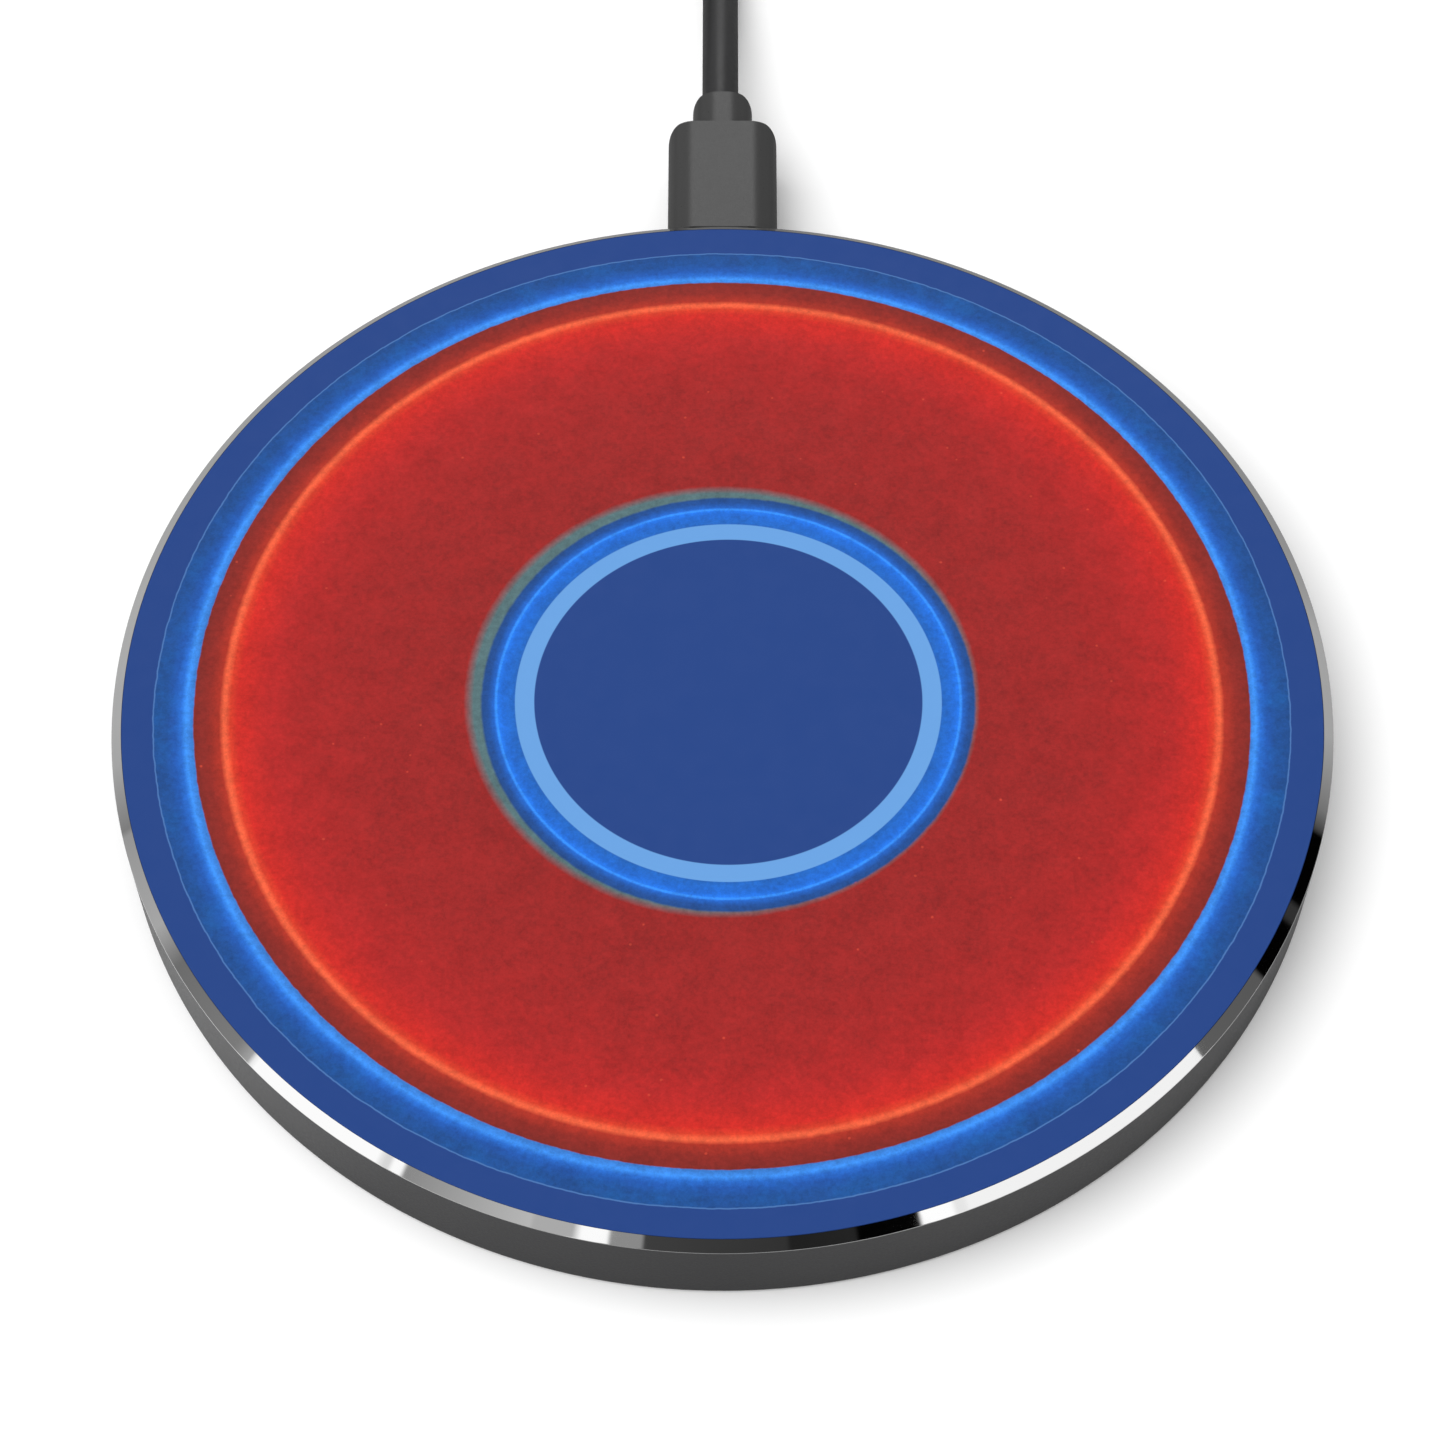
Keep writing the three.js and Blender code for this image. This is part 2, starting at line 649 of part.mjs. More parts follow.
// The far corners are rounded in plan as well as along the long edges
function microUsbOvermould() {
  const farY = OVERMOULD_FACE_Y + OVERMOULD_L;
  const section = roundedRectangle(OVERMOULD_W, OVERMOULD_T, OVERMOULD_EDGE_R);
  const bar = toSolid(barAlongY(section, OVERMOULD_FACE_Y, farY, 0, PORT_Z));
  const extra = 6; // the plan outline runs on past the front face, so that only the far corners are cut
  const plan = roundedRectangle(OVERMOULD_W, OVERMOULD_L + extra, OVERMOULD_CORNER_R);
  const planBar = new THREE.ExtrudeGeometry(plan, { depth: PAD_TOP, bevelEnabled: false, curveSegments: 5 });
  const cutter = toSolid(planBar.translate(0, farY - (OVERMOULD_L + extra) / 2, 0));
  const pocket = barAlongY(
    roundedRectangle(PLUG_SHELL_W + 0.1, PLUG_SHELL_H + 0.1, 0.45),
    OVERMOULD_FACE_Y - 1,
    OVERMOULD_FACE_Y + POCKET_L,
    0,
    PORT_Z,
    3,
  );
  addPart("micro_usb_overmould", toGeometry(cutBy(bar.intersect(cutter), [pocket])), materials.overmould);
  const reliefShape = roundedRectangle(RELIEF_W, RELIEF_T, RELIEF_EDGE_R);
  const relief = barAlongY(reliefShape, farY + SEAT_GAP, farY + RELIEF_L, 0, PORT_Z);
  addPart("micro_usb_strain_relief", relief, materials.overmould);
}

function cable() {
  addPart("cable_lead", tube(LEAD_ROUTE, CORD_D / 2, CORD_SIDES, 12), materials.cable);
  const half = (STORED_LAYERS * CORD_D) / 2;
  const coil = ring(
    STORED_MEAN_R - half,
    STORED_MEAN_R + half,
    STORED_LIFT,
    STORED_LIFT + STORED_LAYERS * CORD_D,
    48,
  );
  addPart("cable_coil", coil.translate(STORED_CENTRE_X, STORED_CENTRE_Y, 0), materials.cable);
  addPart("cable_tail", tube(TAIL_ROUTE, CORD_D / 2, CORD_SIDES, 14), materials.cable);
}

// Strap round the stored coil's bundle, square to the turns
function cableTie() {
  const bundle = STORED_LAYERS * CORD_D;
  const innerFace = STORED_MEAN_R - bundle / 2 - 0.9; // the turns curve inwards across the strap's width
  const outerFace = STORED_MEAN_R + bundle / 2 + 0.3;
  const outerWidth = outerFace - innerFace + 2 * TIE_T;
  const height = bundle + 0.6 + 2 * TIE_T;
  const sleeve = rectangularSleeve(outerWidth, height, TIE_T, -TIE_W / 2, TIE_W / 2, 0, 0, 1.2);
  sleeve.translate((innerFace + outerFace) / 2, 0, STORED_LIFT + bundle / 2);
  sleeve.rotateZ(TIE_ANGLE).translate(STORED_CENTRE_X, STORED_CENTRE_Y, 0);
  addPart("cable_tie", sleeve, materials.strap);
}

function usbAPlug() {
  const mouldFar = USB_A_RELIEF_Y - USB_A_RELIEF_L;
  const mouldNear = mouldFar - USB_A_MOULD_L;
  const shellNear = mouldNear - USB_A_SHELL_OUT;
  const shellFar = mouldNear + POCKET_L - 0.05;
  const reliefShape = roundedRectangle(2 * USB_A_RELIEF_R, 2 * USB_A_RELIEF_R, USB_A_RELIEF_R - 0.1);
  const relief = barAlongY(reliefShape, mouldFar + SEAT_GAP, USB_A_RELIEF_Y, USB_A_X, USB_A_Z, 4);
  addPart("usb_a_strain_relief", relief, materials.overmould);

  const mouldShape = roundedRectangle(USB_A_MOULD_W, USB_A_MOULD_T, USB_A_MOULD_EDGE_R);
  const body = toSolid(barAlongY(mouldShape, mouldNear, mouldFar, USB_A_X, USB_A_Z, 4));
  const pocket = barAlongY(
    roundedRectangle(USB_A_SHELL_W + 0.1, USB_A_SHELL_H + 0.1, 0.3),
    mouldNear - 1,
    mouldNear + POCKET_L,
    USB_A_X,
    USB_A_Z,
    2,
  );
  addPart("usb_a_overmould", toGeometry(cutBy(body, [pocket])), materials.overmould);

  const sleeve = toSolid(
    rectangularSleeve(USB_A_SHELL_W, USB_A_SHELL_H, USB_A_SHEET_T, shellNear, shellFar, USB_A_X, USB_A_Z, 0.4),
  );
  const windowY = shellNear + 6.5;
  const half = USB_A_WINDOW / 2;
  const windows = [-1, 1].map((side) => {
    const x = USB_A_X + side * 2.9;
    return block([x - half, windowY - half, 0], [x + half, windowY + half, USB_A_Z + USB_A_SHELL_H]);
  });
  addPart("usb_a_shell", toGeometry(cutBy(sleeve, windows)), materials.steel);

  const insideHalf = USB_A_SHELL_W / 2 - USB_A_SHEET_T - PLAY;
  const insideFloor = USB_A_Z - USB_A_SHELL_H / 2 + USB_A_SHEET_T + PLAY;
  const insulatorTop = USB_A_Z - 0.1;
  const insulator = block(
    [USB_A_X - insideHalf, shellNear + 0.4, insideFloor],
    [USB_A_X + insideHalf, shellFar, insulatorTop],
  );
  addPart("usb_a_insulator", insulator, materials.whiteInsulator);
  for (let i = 0; i < USB_A_CONTACTS; i++) {
    const x = USB_A_X + (i - (USB_A_CONTACTS - 1) / 2) * USB_A_CONTACT_PITCH;
    const strip = block(
      [x - 0.5, shellNear + 1.4, insulatorTop + 0.02],
      [x + 0.5, shellNear + 8.8, insulatorTop + 0.22],
    );
    addPart(`usb_a_contact_${i + 1}`, strip, materials.gold);
  }
}

topPanel();
panelAdhesive();
bezelRing();
baseShell();
footRing();
caseScrews();
ferriteShield();
chargingCoil();
coilLeads();
coilFilm();
temperatureSensor();
controlBoard();
boardScrews();
boardParts();
usbReceptacle();
microUsbPlug();
microUsbOvermould();
cable();
cableTie();
usbAPlug();

export default charger;
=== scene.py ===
# Looks of a round wireless charging pad with a detachable USB lead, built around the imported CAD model

import math

import bmesh
import bpy
from mathutils import Matrix, Vector


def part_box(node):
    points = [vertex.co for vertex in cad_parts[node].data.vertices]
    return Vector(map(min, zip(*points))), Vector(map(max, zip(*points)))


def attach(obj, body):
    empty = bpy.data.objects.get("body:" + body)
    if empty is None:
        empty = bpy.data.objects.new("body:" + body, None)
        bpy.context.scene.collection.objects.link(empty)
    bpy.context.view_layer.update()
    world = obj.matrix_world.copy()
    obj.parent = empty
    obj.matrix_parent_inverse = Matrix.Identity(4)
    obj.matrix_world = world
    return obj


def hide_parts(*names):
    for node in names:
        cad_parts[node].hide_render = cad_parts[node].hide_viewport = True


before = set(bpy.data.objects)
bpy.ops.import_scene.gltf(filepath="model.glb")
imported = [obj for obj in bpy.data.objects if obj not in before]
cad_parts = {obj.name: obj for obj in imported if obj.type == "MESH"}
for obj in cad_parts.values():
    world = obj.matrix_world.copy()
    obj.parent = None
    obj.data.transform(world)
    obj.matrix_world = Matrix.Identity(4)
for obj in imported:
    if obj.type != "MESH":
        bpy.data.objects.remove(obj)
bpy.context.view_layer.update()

# Lengths below are millimetres, and MM turns them into Blender's metres.
MM = 0.001
ROUND_STEPS = 288  # steps round the pad's turned pieces
CREASE_ANGLE = 35  # degrees from which an edge stays sharp


def box_mm(node):
    """Lowest and highest corner of a CAD node, in millimetres."""
    low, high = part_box(node)
    return low / MM, high / MM


PANEL_LOW, PANEL_HIGH = box_mm("top_panel")
TOP = PANEL_HIGH.z
PAD_R = box_mm("base_shell")[1].x

# --------------------------------------------------------------------------- camera

VIEW_ELEVATION = math.radians(57.21)
VIEW_DEPTH = 326.3  # from the camera to the middle of the charging face, along the line of sight
VIEW_RISE = 2.43  # how far that middle lies above the centre of the frame
LENS = 99.2
SENSOR_WIDTH = 36


def make_camera():
    right = Vector((1, 0, 0))
    up = Vector((0, math.sin(VIEW_ELEVATION), math.cos(VIEW_ELEVATION)))
    forward = Vector((0, math.cos(VIEW_ELEVATION), -math.sin(VIEW_ELEVATION)))
    data = bpy.data.cameras.new("camera")
    data.lens = LENS
    data.sensor_width = SENSOR_WIDTH
    data.clip_start = 0.01
    camera = bpy.data.objects.new("camera", data)
    bpy.context.scene.collection.objects.link(camera)
    middle = Vector((0, 0, TOP))
    place = (middle - up * VIEW_RISE - forward * VIEW_DEPTH) * MM
    camera.matrix_world = Matrix.Translation(place) @ Matrix((right, up, -forward)).transposed().to_4x4()
    bpy.context.scene.camera = camera


make_camera()

# --------------------------------------------------------------------------- making meshes


def add_object(name, data):
    piece = bpy.data.objects.new(name, data)
    bpy.context.scene.collection.objects.link(piece)
    return piece


def object_from_bmesh(name, mesh_builder):
    """An object of the bmesh, scaled from millimetres."""
    bmesh.ops.recalc_face_normals(mesh_builder, faces=mesh_builder.faces)
    data = bpy.data.meshes.new(name)
    mesh_builder.to_mesh(data)
    mesh_builder.free()
    data.transform(Matrix.Scale(MM, 4))
    shade(data)
    return add_object(name, data)


def shade(data):
    """Smooth except at sharp edges."""
    data.shade_smooth()
    data.set_sharp_from_angle(angle=math.radians(CREASE_ANGLE))


def applied(piece):
    """Replaces the piece's mesh by what its modifiers make of it."""
    view = bpy.context.evaluated_depsgraph_get()
    made = bpy.data.meshes.new_from_object(piece.evaluated_get(view))
    piece.modifiers.clear()
    piece.data = made
    made.name = piece.name


def weight_normals(piece):
    """Keeps large faces flat beside small fillets, so that they mirror without bending."""
    modifier = piece.modifiers.new("normals", "WEIGHTED_NORMAL")
    modifier.mode = "FACE_AREA"
    modifier.weight = 100
    modifier.keep_sharp = True
    applied(piece)


def filleted(corners, steps=6):
    """A closed outline from corners (x, y) or (x, y, fillet radius), each fillet an arc of so many steps."""
    outline = []
    count = len(corners)
    for i, corner in enumerate(corners):
        here = Vector(corner[:2])
        radius = corner[2] if len(corner) > 2 else 0
        if radius == 0:
            outline.append(here)
            continue
        before = (Vector(corners[i - 1][:2]) - here).normalized()
        after = (Vector(corners[(i + 1) % count][:2]) - here).normalized()
        half = before.angle(after) / 2
        reach = radius / math.tan(half)
        centre = here + (before + after).normalized() * (radius / math.sin(half))
        start = here + before * reach - centre
        end = here + after * reach - centre
        turn = start.angle_signed(end)
        for k in range(steps + 1):
            outline.append(centre + Matrix.Rotation(-turn * k / steps, 2) @ start)
    return outline


def revolve(name, outline, steps=ROUND_STEPS):
    """A closed piece turned about Z from an outline of (radius, height) points; radius 0 lies on the axis."""
    builder = bmesh.new()
    rings = []
    for radius, height in outline:
        if radius < 1e-6:
            rings.append([builder.verts.new((0, 0, height))])
            continue
        angles = [2 * math.pi * k / steps for k in range(steps)]
        places = [(radius * math.cos(a), radius * math.sin(a), height) for a in angles]
        rings.append([builder.verts.new(place) for place in places])
    for first, second in zip(rings, rings[1:] + rings[:1]):
        if len(first) == 1 and len(second) == 1:
            continue
        for k in range(steps):
            after = (k + 1) % steps
            if len(first) == 1:
                builder.faces.new((first[0], second[after], second[k]))
            elif len(second) == 1:
                builder.faces.new((first[k], first[after], second[0]))
            else:
                builder.faces.new((first[k], first[after], second[after], second[k]))
    return object_from_bmesh(name, builder)


def loft(name, sections, place):
    """A closed bar through sections of (outline, depth); place(x, y, depth) gives each point."""
    builder = bmesh.new()
    rings = [[builder.verts.new(place(x, y, depth)) for x, y in outline] for outline, depth in sections]
    count = len(rings[0])
    for first, second in zip(rings, rings[1:]):
        for i in range(count):
            after = (i + 1) % count
            builder.faces.new((first[i], first[after], second[after], second[i]))
    builder.faces.new(rings[0])
    builder.faces.new(rings[-1])
    return object_from_bmesh(name, builder)


def rectangle(width, height, fillet=0.0, steps=8):
    x, y = width / 2, height / 2
    return filleted([(-x, -y, fillet), (x, -y, fillet), (x, y, fillet), (-x, y, fillet)], steps)


def bar_along_y(name, outline, near, far, x, z):
    return loft(name, [(outline, near), (outline, far)], lambda u, v, depth: (x + u, depth, z + v))


def post(name, outline, low, high, x=0.0, y=0.0):
    return loft(name, [(outline, low), (outline, high)], lambda u, v, depth: (x + u, y + v, depth))


def circle(radius, steps=48):
    angles = [2 * math.pi * k / steps for k in range(steps)]
    return [Vector((radius * math.cos(a), radius * math.sin(a))) for a in angles]


def combine(piece, other, operation):
    """Joins the other closed mesh to the piece, or cuts it away, and removes the other."""
    modifier = piece.modifiers.new("combine", "BOOLEAN")
    modifier.operation = operation
    modifier.solver = "MANIFOLD"
    modifier.object = other
    applied(piece)
    shade(piece.data)
    bpy.data.objects.remove(other)
    return piece


def copy_of_node(node):
    """A closed copy of a CAD node's mesh, its shared vertices merged."""
    builder = bmesh.new()
    builder.from_mesh(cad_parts[node].data)
    bmesh.ops.remove_doubles(builder, verts=builder.verts, dist=1e-7)
    data = bpy.data.meshes.new(node + "_copy")
    builder.to_mesh(data)
    builder.free()
    data.materials.clear()
    return add_object(node + "_copy", data)


def inner_features(piece, node, radius, low, high):
    """Joins to the piece what its CAD node has inside a round space: ribs, posts and bosses."""
    features = copy_of_node(node)
    space = post("space", circle(radius, 96), low, high)
    combine(features, space, "INTERSECT")
    return combine(piece, features, "UNION")


# --------------------------------------------------------------------------- materials


ROOM_LIGHT = 0.8
ROOM_SLANT = 0.28  # how much lighter the room is on the left, and darker on the right
KEY_LIGHT = 0.52  # how much light the key gives, in shares of what makes a white surface just white
PRINT_LIGHT = 1.24  # light on the charging face
PRINT_GLOSS = 0.0139  # what the print's gloss adds to its colour, as it is seen


def srgb(red, green, blue):
    """A linear colour from display values of 0 to 255."""
    def linear(value):
        value /= 255
        return value / 12.92 if value <= 0.04045 else ((value + 0.055) / 1.055) ** 2.4
    return (linear(red), linear(green), linear(blue), 1.0)


def ink(red, green, blue):
    """The colour of print that is seen as these display values in the scene's light."""
    seen = srgb(red, green, blue)[:3]
    return (*[max(value - PRINT_GLOSS, 0.002) / PRINT_LIGHT for value in seen], 1.0)


class Nodes:
    """Short ways to add nodes to a node tree."""

    def __init__(self, tree):
        self.tree = tree
        self.place = None

    def add(self, kind):
        return self.tree.nodes.new(kind)

    def put(self, value, socket):
        if isinstance(value, bpy.types.NodeSocket):
            self.tree.links.new(value, socket)
        else:
            socket.default_value = value

    def math(self, operation, first, second=0.0, third=0.0):
        node = self.add("ShaderNodeMath")
        node.operation = operation
        for value, socket in zip((first, second, third), node.inputs):
            self.put(value, socket)
        return node.outputs[0]

    def vector(self, operation, first, second):
        node = self.add("ShaderNodeVectorMath")
        node.operation = operation
        self.put(first, node.inputs[0])
        self.put(second, node.inputs[1])
        return node.outputs["Value" if operation in ("LENGTH", "DOT_PRODUCT", "DISTANCE") else "Vector"]

    def parts(self, vector=None):
        node = self.add("ShaderNodeSeparateXYZ")
        self.put(vector or self.place, node.inputs[0])
        return node.outputs

    def distance_from(self, x, y):
        """Distance in the table's plane from a point."""
        flat = self.vector("MULTIPLY", self.place, (1, 1, 0))
        return self.vector("DISTANCE", flat, (x, y, 0))

    def noise(self, size, detail=2.0, roughness=0.5, stretch=(1, 1, 1)):
        """Noise of 0 to 1 with features about so many millimetres across."""
        node = self.add("ShaderNodeTexNoise")
        self.put(self.vector("MULTIPLY", self.place, stretch), node.inputs["Vector"])
        node.inputs["Scale"].default_value = 1 / size
        node.inputs["Detail"].default_value = detail
        node.inputs["Roughness"].default_value = roughness
        return node.outputs["Fac"]

    def cells(self, size, feature="F1"):
        """Distance in a pattern of cells about so many millimetres across."""
        node = self.add("ShaderNodeTexVoronoi")
        node.feature = feature
        self.put(self.place, node.inputs["Vector"])
        node.inputs["Scale"].default_value = 1 / size
        return node.outputs["Distance"]

    def spread(self, value, low, high, to_low=0.0, to_high=1.0):
        """The value's stretch from low to high, mapped to another and held at its ends."""
        node = self.add("ShaderNodeMapRange")
        for item, socket in zip((value, low, high, to_low, to_high), node.inputs):
            self.put(item, socket)
        return node.outputs[0]

    def ramp(self, value, stops):
        """Colours along the value, from stops of (value, colour) in rising order."""
        node = self.add("ShaderNodeValToRGB")
        start, end = stops[0][0], stops[-1][0]
        elements = node.color_ramp.elements
        while len(elements) < len(stops):
            elements.new(0.5)
        for element, (at, colour) in zip(elements, stops):
            element.position = (at - start) / (end - start)
            element.color = colour
        self.put(self.spread(value, start, end), node.inputs[0])
        return node.outputs["Color"]

    def mix(self, factor, first, second):
        node = self.add("ShaderNodeMix")
        node.data_type = "RGBA"
        self.put(factor, node.inputs["Factor"])
        self.put(first, node.inputs["A"])
        self.put(second, node.inputs["B"])
        return node.outputs["Result"]

    def tinted(self, colour, noise, amount):
        """The colour made lighter and darker by a share of itself where the noise of 0 to 1 says."""
        node = self.add("ShaderNodeHueSaturation")
        self.put(colour, node.inputs["Color"])
        self.put(self.spread(noise, 0.2, 0.8, 1 - amount, 1 + amount), node.inputs["Value"])
        return node.outputs["Color"]


class Look(Nodes):
    """A material whose patterns are laid out in millimetres of the row frame."""

    def __init__(self, name, colour=(0.5, 0.5, 0.5, 1), roughness=0.5, metallic=0.0, specular=0.5):
        self.material = bpy.data.materials.new(name)
        self.material.use_nodes = True
        super().__init__(self.material.node_tree)
        self.surface = self.tree.nodes["Principled BSDF"]
        self.surface.inputs["Base Color"].default_value = colour
        self.surface.inputs["Roughness"].default_value = roughness
        self.surface.inputs["Metallic"].default_value = metallic
        self.surface.inputs["Specular IOR Level"].default_value = specular
        place = self.add("ShaderNodeTexCoord")
        self.place = self.vector("MULTIPLY", place.outputs["Object"], (1 / MM, 1 / MM, 1 / MM))

    def bump(self, height, depth, strength=1.0):
        """Surface relief, its full height so many millimetres."""
        node = self.add("ShaderNodeBump")
        node.inputs["Distance"].default_value = depth * MM
        node.inputs["Strength"].default_value = strength
        self.put(height, node.inputs["Height"])
        self.put(node.outputs["Normal"], self.surface.inputs["Normal"])

    def colour(self, value):
        self.put(value, self.surface.inputs["Base Color"])

    def roughness(self, value):
        self.put(value, self.surface.inputs["Roughness"])


# Centres of the print's rings, which lie a little off the pad's and off each other's
RIM_MIDDLE = (-0.05, -0.16)
AZURE_MIDDLE = (-0.15, -0.26)
EYE_MIDDLE = (0.48, -0.5)

BLUE = (46, 75, 141)  # the plain blue of the rim and of the eye's middle
LIGHT_BLUE = (111, 167, 230)  # the ring in the eye
LINE_BLUE = (82, 124, 186)
HALO_GREY = (92, 120, 124)
SPECK_RED = (226, 84, 64)
PATCH_BLUE = (40, 112, 190)

# Where one zone of the print ends and the next starts
LIGHT_RING_INNER_R = 15.89
LIGHT_RING_OUTER_R = 17.47
EYE_R = 20.22
HALO_R = 20.75
ORANGE_START_R = 39.6
AZURE_START_R = 43.2
PATCHES_START_R = 44.3
LINE_INNER_R = 46.4
LINE_OUTER_R = 46.51

# What the print shows at so many millimetres from the rings' centres
RED_FIELD = [
    (22, (158, 47, 46)),
    (30, (165, 47, 46)),
    (34.5, (175, 47, 46)),
    (37, (188, 48, 47)),
    (ORANGE_START_R, (211, 51, 45)),
]
ORANGE_LINE = [
    (ORANGE_START_R, (211, 51, 45)),
    (40.2, (221, 68, 49)),
    (40.55, (243, 100, 68)),
    (40.75, (243, 102, 69)),
    (41.1, (180, 58, 46)),
    (42, (150, 51, 45)),
    (AZURE_START_R, (134, 50, 46)),
]
AZURE_GLOW = [
    (AZURE_START_R, (66, 128, 210)),
    (43.7, (69, 150, 249)),
    (44.1, (50, 114, 212)),
    (44.6, (44, 94, 180)),
    (45.4, (42, 86, 156)),
    (46.5, (42, 82, 146)),
]
EYE_RINGS = [
    (17.45, (45, 107, 194)),
    (18.5, (44, 112, 216)),
    (18.86, (46, 124, 238)),
    (18.97, (62, 148, 254)),
    (19.07, (60, 143, 250)),
    (19.2, (45, 106, 204)),
    (19.7, (43, 85, 157)),
    (20.3, (43, 79, 138)),
]


def printed(look, distance, rings):
    return look.ramp(distance, [(at, ink(*colour)) for at, colour in rings])


def print_look():
    """Satin print of concentric rings: blue rim, azure glow, orange line, red field and a blue eye."""
    look = Look("printed_panel", roughness=0.5, specular=0.2)
    waver = look.math("MULTIPLY", look.math("SUBTRACT", look.noise(0.8, 2.0), 0.5), 0.16)
    line_waver = look.math("MULTIPLY", look.math("SUBTRACT", look.noise(3.5, 4.0), 0.5), 0.14)
    rim = look.math("ADD", look.distance_from(*RIM_MIDDLE), waver)
    azure = look.math("ADD", look.distance_from(*AZURE_MIDDLE), waver)
    eye = look.distance_from(*EYE_MIDDLE)
    eye_edge = look.math("ADD", eye, waver)

    def beyond(distance, radius, soft=0.05):
        return look.spread(distance, radius - soft, radius + soft)

    red = printed(look, rim, RED_FIELD)
    orange = printed(look, rim, ORANGE_LINE)
    field = look.mix(beyond(rim, ORANGE_START_R), red, orange)
    field = look.mix(beyond(rim, HALO_R, 0.4), ink(*HALO_GREY), field)
    specks = look.spread(look.cells(2.4), 0.035, 0.06, 0.5, 0)
    field = look.mix(specks, field, ink(*SPECK_RED))
    glow = printed(look, azure, AZURE_GLOW)
    patches = look.spread(look.noise(3.2, 4.0, 0.6), 0.5, 0.72, 0, 0.3)
    patches = look.math("MULTIPLY", patches, beyond(rim, PATCHES_START_R, 0.4))
    glow = look.mix(patches, glow, ink(*PATCH_BLUE))
    field = look.mix(beyond(rim, AZURE_START_R), field, glow)
    eye_rings = printed(look, eye, EYE_RINGS)
    field = look.mix(beyond(eye_edge, EYE_R, 0.1), eye_rings, field)

    # mottled grain, which the plain blue and the light ring don't have
    fine = look.noise(0.42, 3.0, 0.75)
    coarse = look.noise(2.5, 2.0)
    grain = look.math("ADD", look.math("MULTIPLY", fine, 0.72), look.math("MULTIPLY", coarse, 0.28))
    field = look.tinted(field, grain, 0.42)

    # the thin, slightly wavy light line, and the plain rim outside it
    line = look.math("ADD", rim, line_waver)
    field = look.mix(beyond(line, LINE_INNER_R, 0.03), field, ink(*LINE_BLUE))
    field = look.mix(beyond(line, LINE_OUTER_R, 0.03), field, ink(*BLUE))
    field = look.mix(beyond(eye, LIGHT_RING_OUTER_R, 0.04), ink(*LIGHT_BLUE), field)
    field = look.mix(beyond(eye, LIGHT_RING_INNER_R, 0.04), ink(*BLUE), field)

    look.colour(field)
    look.roughness(look.spread(look.noise(1.5, 3.0), 0.3, 0.7, 0.46, 0.54))
    look.bump(look.noise(0.35, 2.0), 0.003, 0.5)
    return look.material


CHROME = 0.87  # how much light the bezel mirrors


def chrome_look():
    look = Look("bright_bezel", colour=(CHROME, CHROME, CHROME, 1), metallic=1.0)
    look.roughness(look.spread(look.noise(3.0, 4.0, 0.6), 0.3, 0.7, 0.015, 0.05))
    look.bump(look.noise(8.0, 1.0), 0.002, 0.25)
    return look.material


def moulded_look(name, colour, size=0.22, depth=0.02, roughness=0.55, variation=0.06, specular=0.4):
    """Spark-eroded plastic: fine pitted texture with slight changes of shade and gloss."""
    look = Look(name, specular=specular)
    fine = look.noise(size, 3.0, 0.6)
    broad = look.noise(9.0, 2.0)
    look.colour(look.tinted(look.tinted(colour, fine, variation), broad, 0.03))
    look.roughness(look.spread(fine, 0.25, 0.75, roughness - 0.07, roughness + 0.08))
    look.bump(fine, depth)
    return look.material


def silicone_look():
    look = Look("foot_silicone", specular=0.3)
    dust = look.cells(0.8)
    look.colour(look.tinted(srgb(44, 44, 45), look.noise(1.2, 4.0, 0.65), 0.12))
    look.roughness(look.spread(dust, 0.0, 0.7, 0.62, 0.82))
    look.bump(look.noise(0.3, 3.0), 0.02)
    return look.material


def steel_look(name, colour, roughness=0.28):
    """Plated sheet metal with faint drawing lines along one axis."""
    look = Look(name, metallic=1.0)
    lines = look.noise(1.6, 3.0, 0.6, (1, 14, 1))
    look.colour(look.tinted(colour, look.noise(2.0, 3.0), 0.07))
    look.roughness(look.spread(lines, 0.25, 0.75, roughness - 0.08, roughness + 0.1))
    look.bump(lines, 0.004, 0.6)
    return look.material


def ferrite_look():
    look = Look("ferrite", specular=0.35)
    grain = look.cells(0.25)
    look.colour(look.tinted(srgb(58, 55, 51), grain, 0.2))
    look.roughness(look.spread(look.noise(1.0, 3.0), 0.3, 0.7, 0.6, 0.8))
    look.bump(grain, 0.015)
    return look.material


def copper_look():
    """Enamelled strands lying along the winding, which show as fine slanting ridges; the colour is painted
    lighter on their crests and darker in the grooves, as painted light and shade.
    """
    look = Look("copper_wire", metallic=1.0)
    x, y, _ = look.parts()
    angle = look.math("ARCTAN2", y, x)
    radius = look.distance_from(0, 0)
    slant = look.math("ADD", look.math("MULTIPLY", angle, 90), look.math("MULTIPLY", radius, 14))
    twist = look.math("SINE", slant)
    share = look.spread(twist, -1, 1)
    # painted light and shade: light copper on the ridges' crests, dark copper in the grooves, following the
    # bump
    look.colour(look.mix(share, srgb(150, 74, 38), srgb(214, 128, 76)))
    look.roughness(look.spread(look.noise(0.8, 2.0), 0.3, 0.7, 0.28, 0.42))
    look.bump(share, 0.04)
    return look.material


def film_look():
    look = Look("adhesive_film", specular=0.4)
    look.colour(look.tinted(srgb(228, 216, 176), look.noise(2.5, 4.0), 0.06))
    look.roughness(look.spread(look.noise(1.0, 2.0), 0.3, 0.7, 0.35, 0.5))
    look.bump(look.noise(1.8, 3.0), 0.01)
    return look.material


def board_look():
    """Green solder mask over copper: tracks and pads as a generic pattern."""
    look = Look("board_laminate", specular=0.5)
    tracks = look.cells(2.6, "DISTANCE_TO_EDGE")
    over_track = look.spread(tracks, 0.05, 0.08, 1, 0)
    weave = look.noise(0.5, 2.0, 0.5, (1, 3, 1))
    mask = look.mix(over_track, srgb(22, 84, 54), srgb(44, 122, 76))
    vias = look.spread(look.cells(3.1), 0.1, 0.12, 1, 0)
    look.colour(look.mix(vias, look.tinted(mask, weave, 0.05), srgb(200, 190, 150)))
    look.roughness(look.spread(weave, 0.3, 0.7, 0.3, 0.42))
    look.bump(over_track, 0.03)
    return look.material


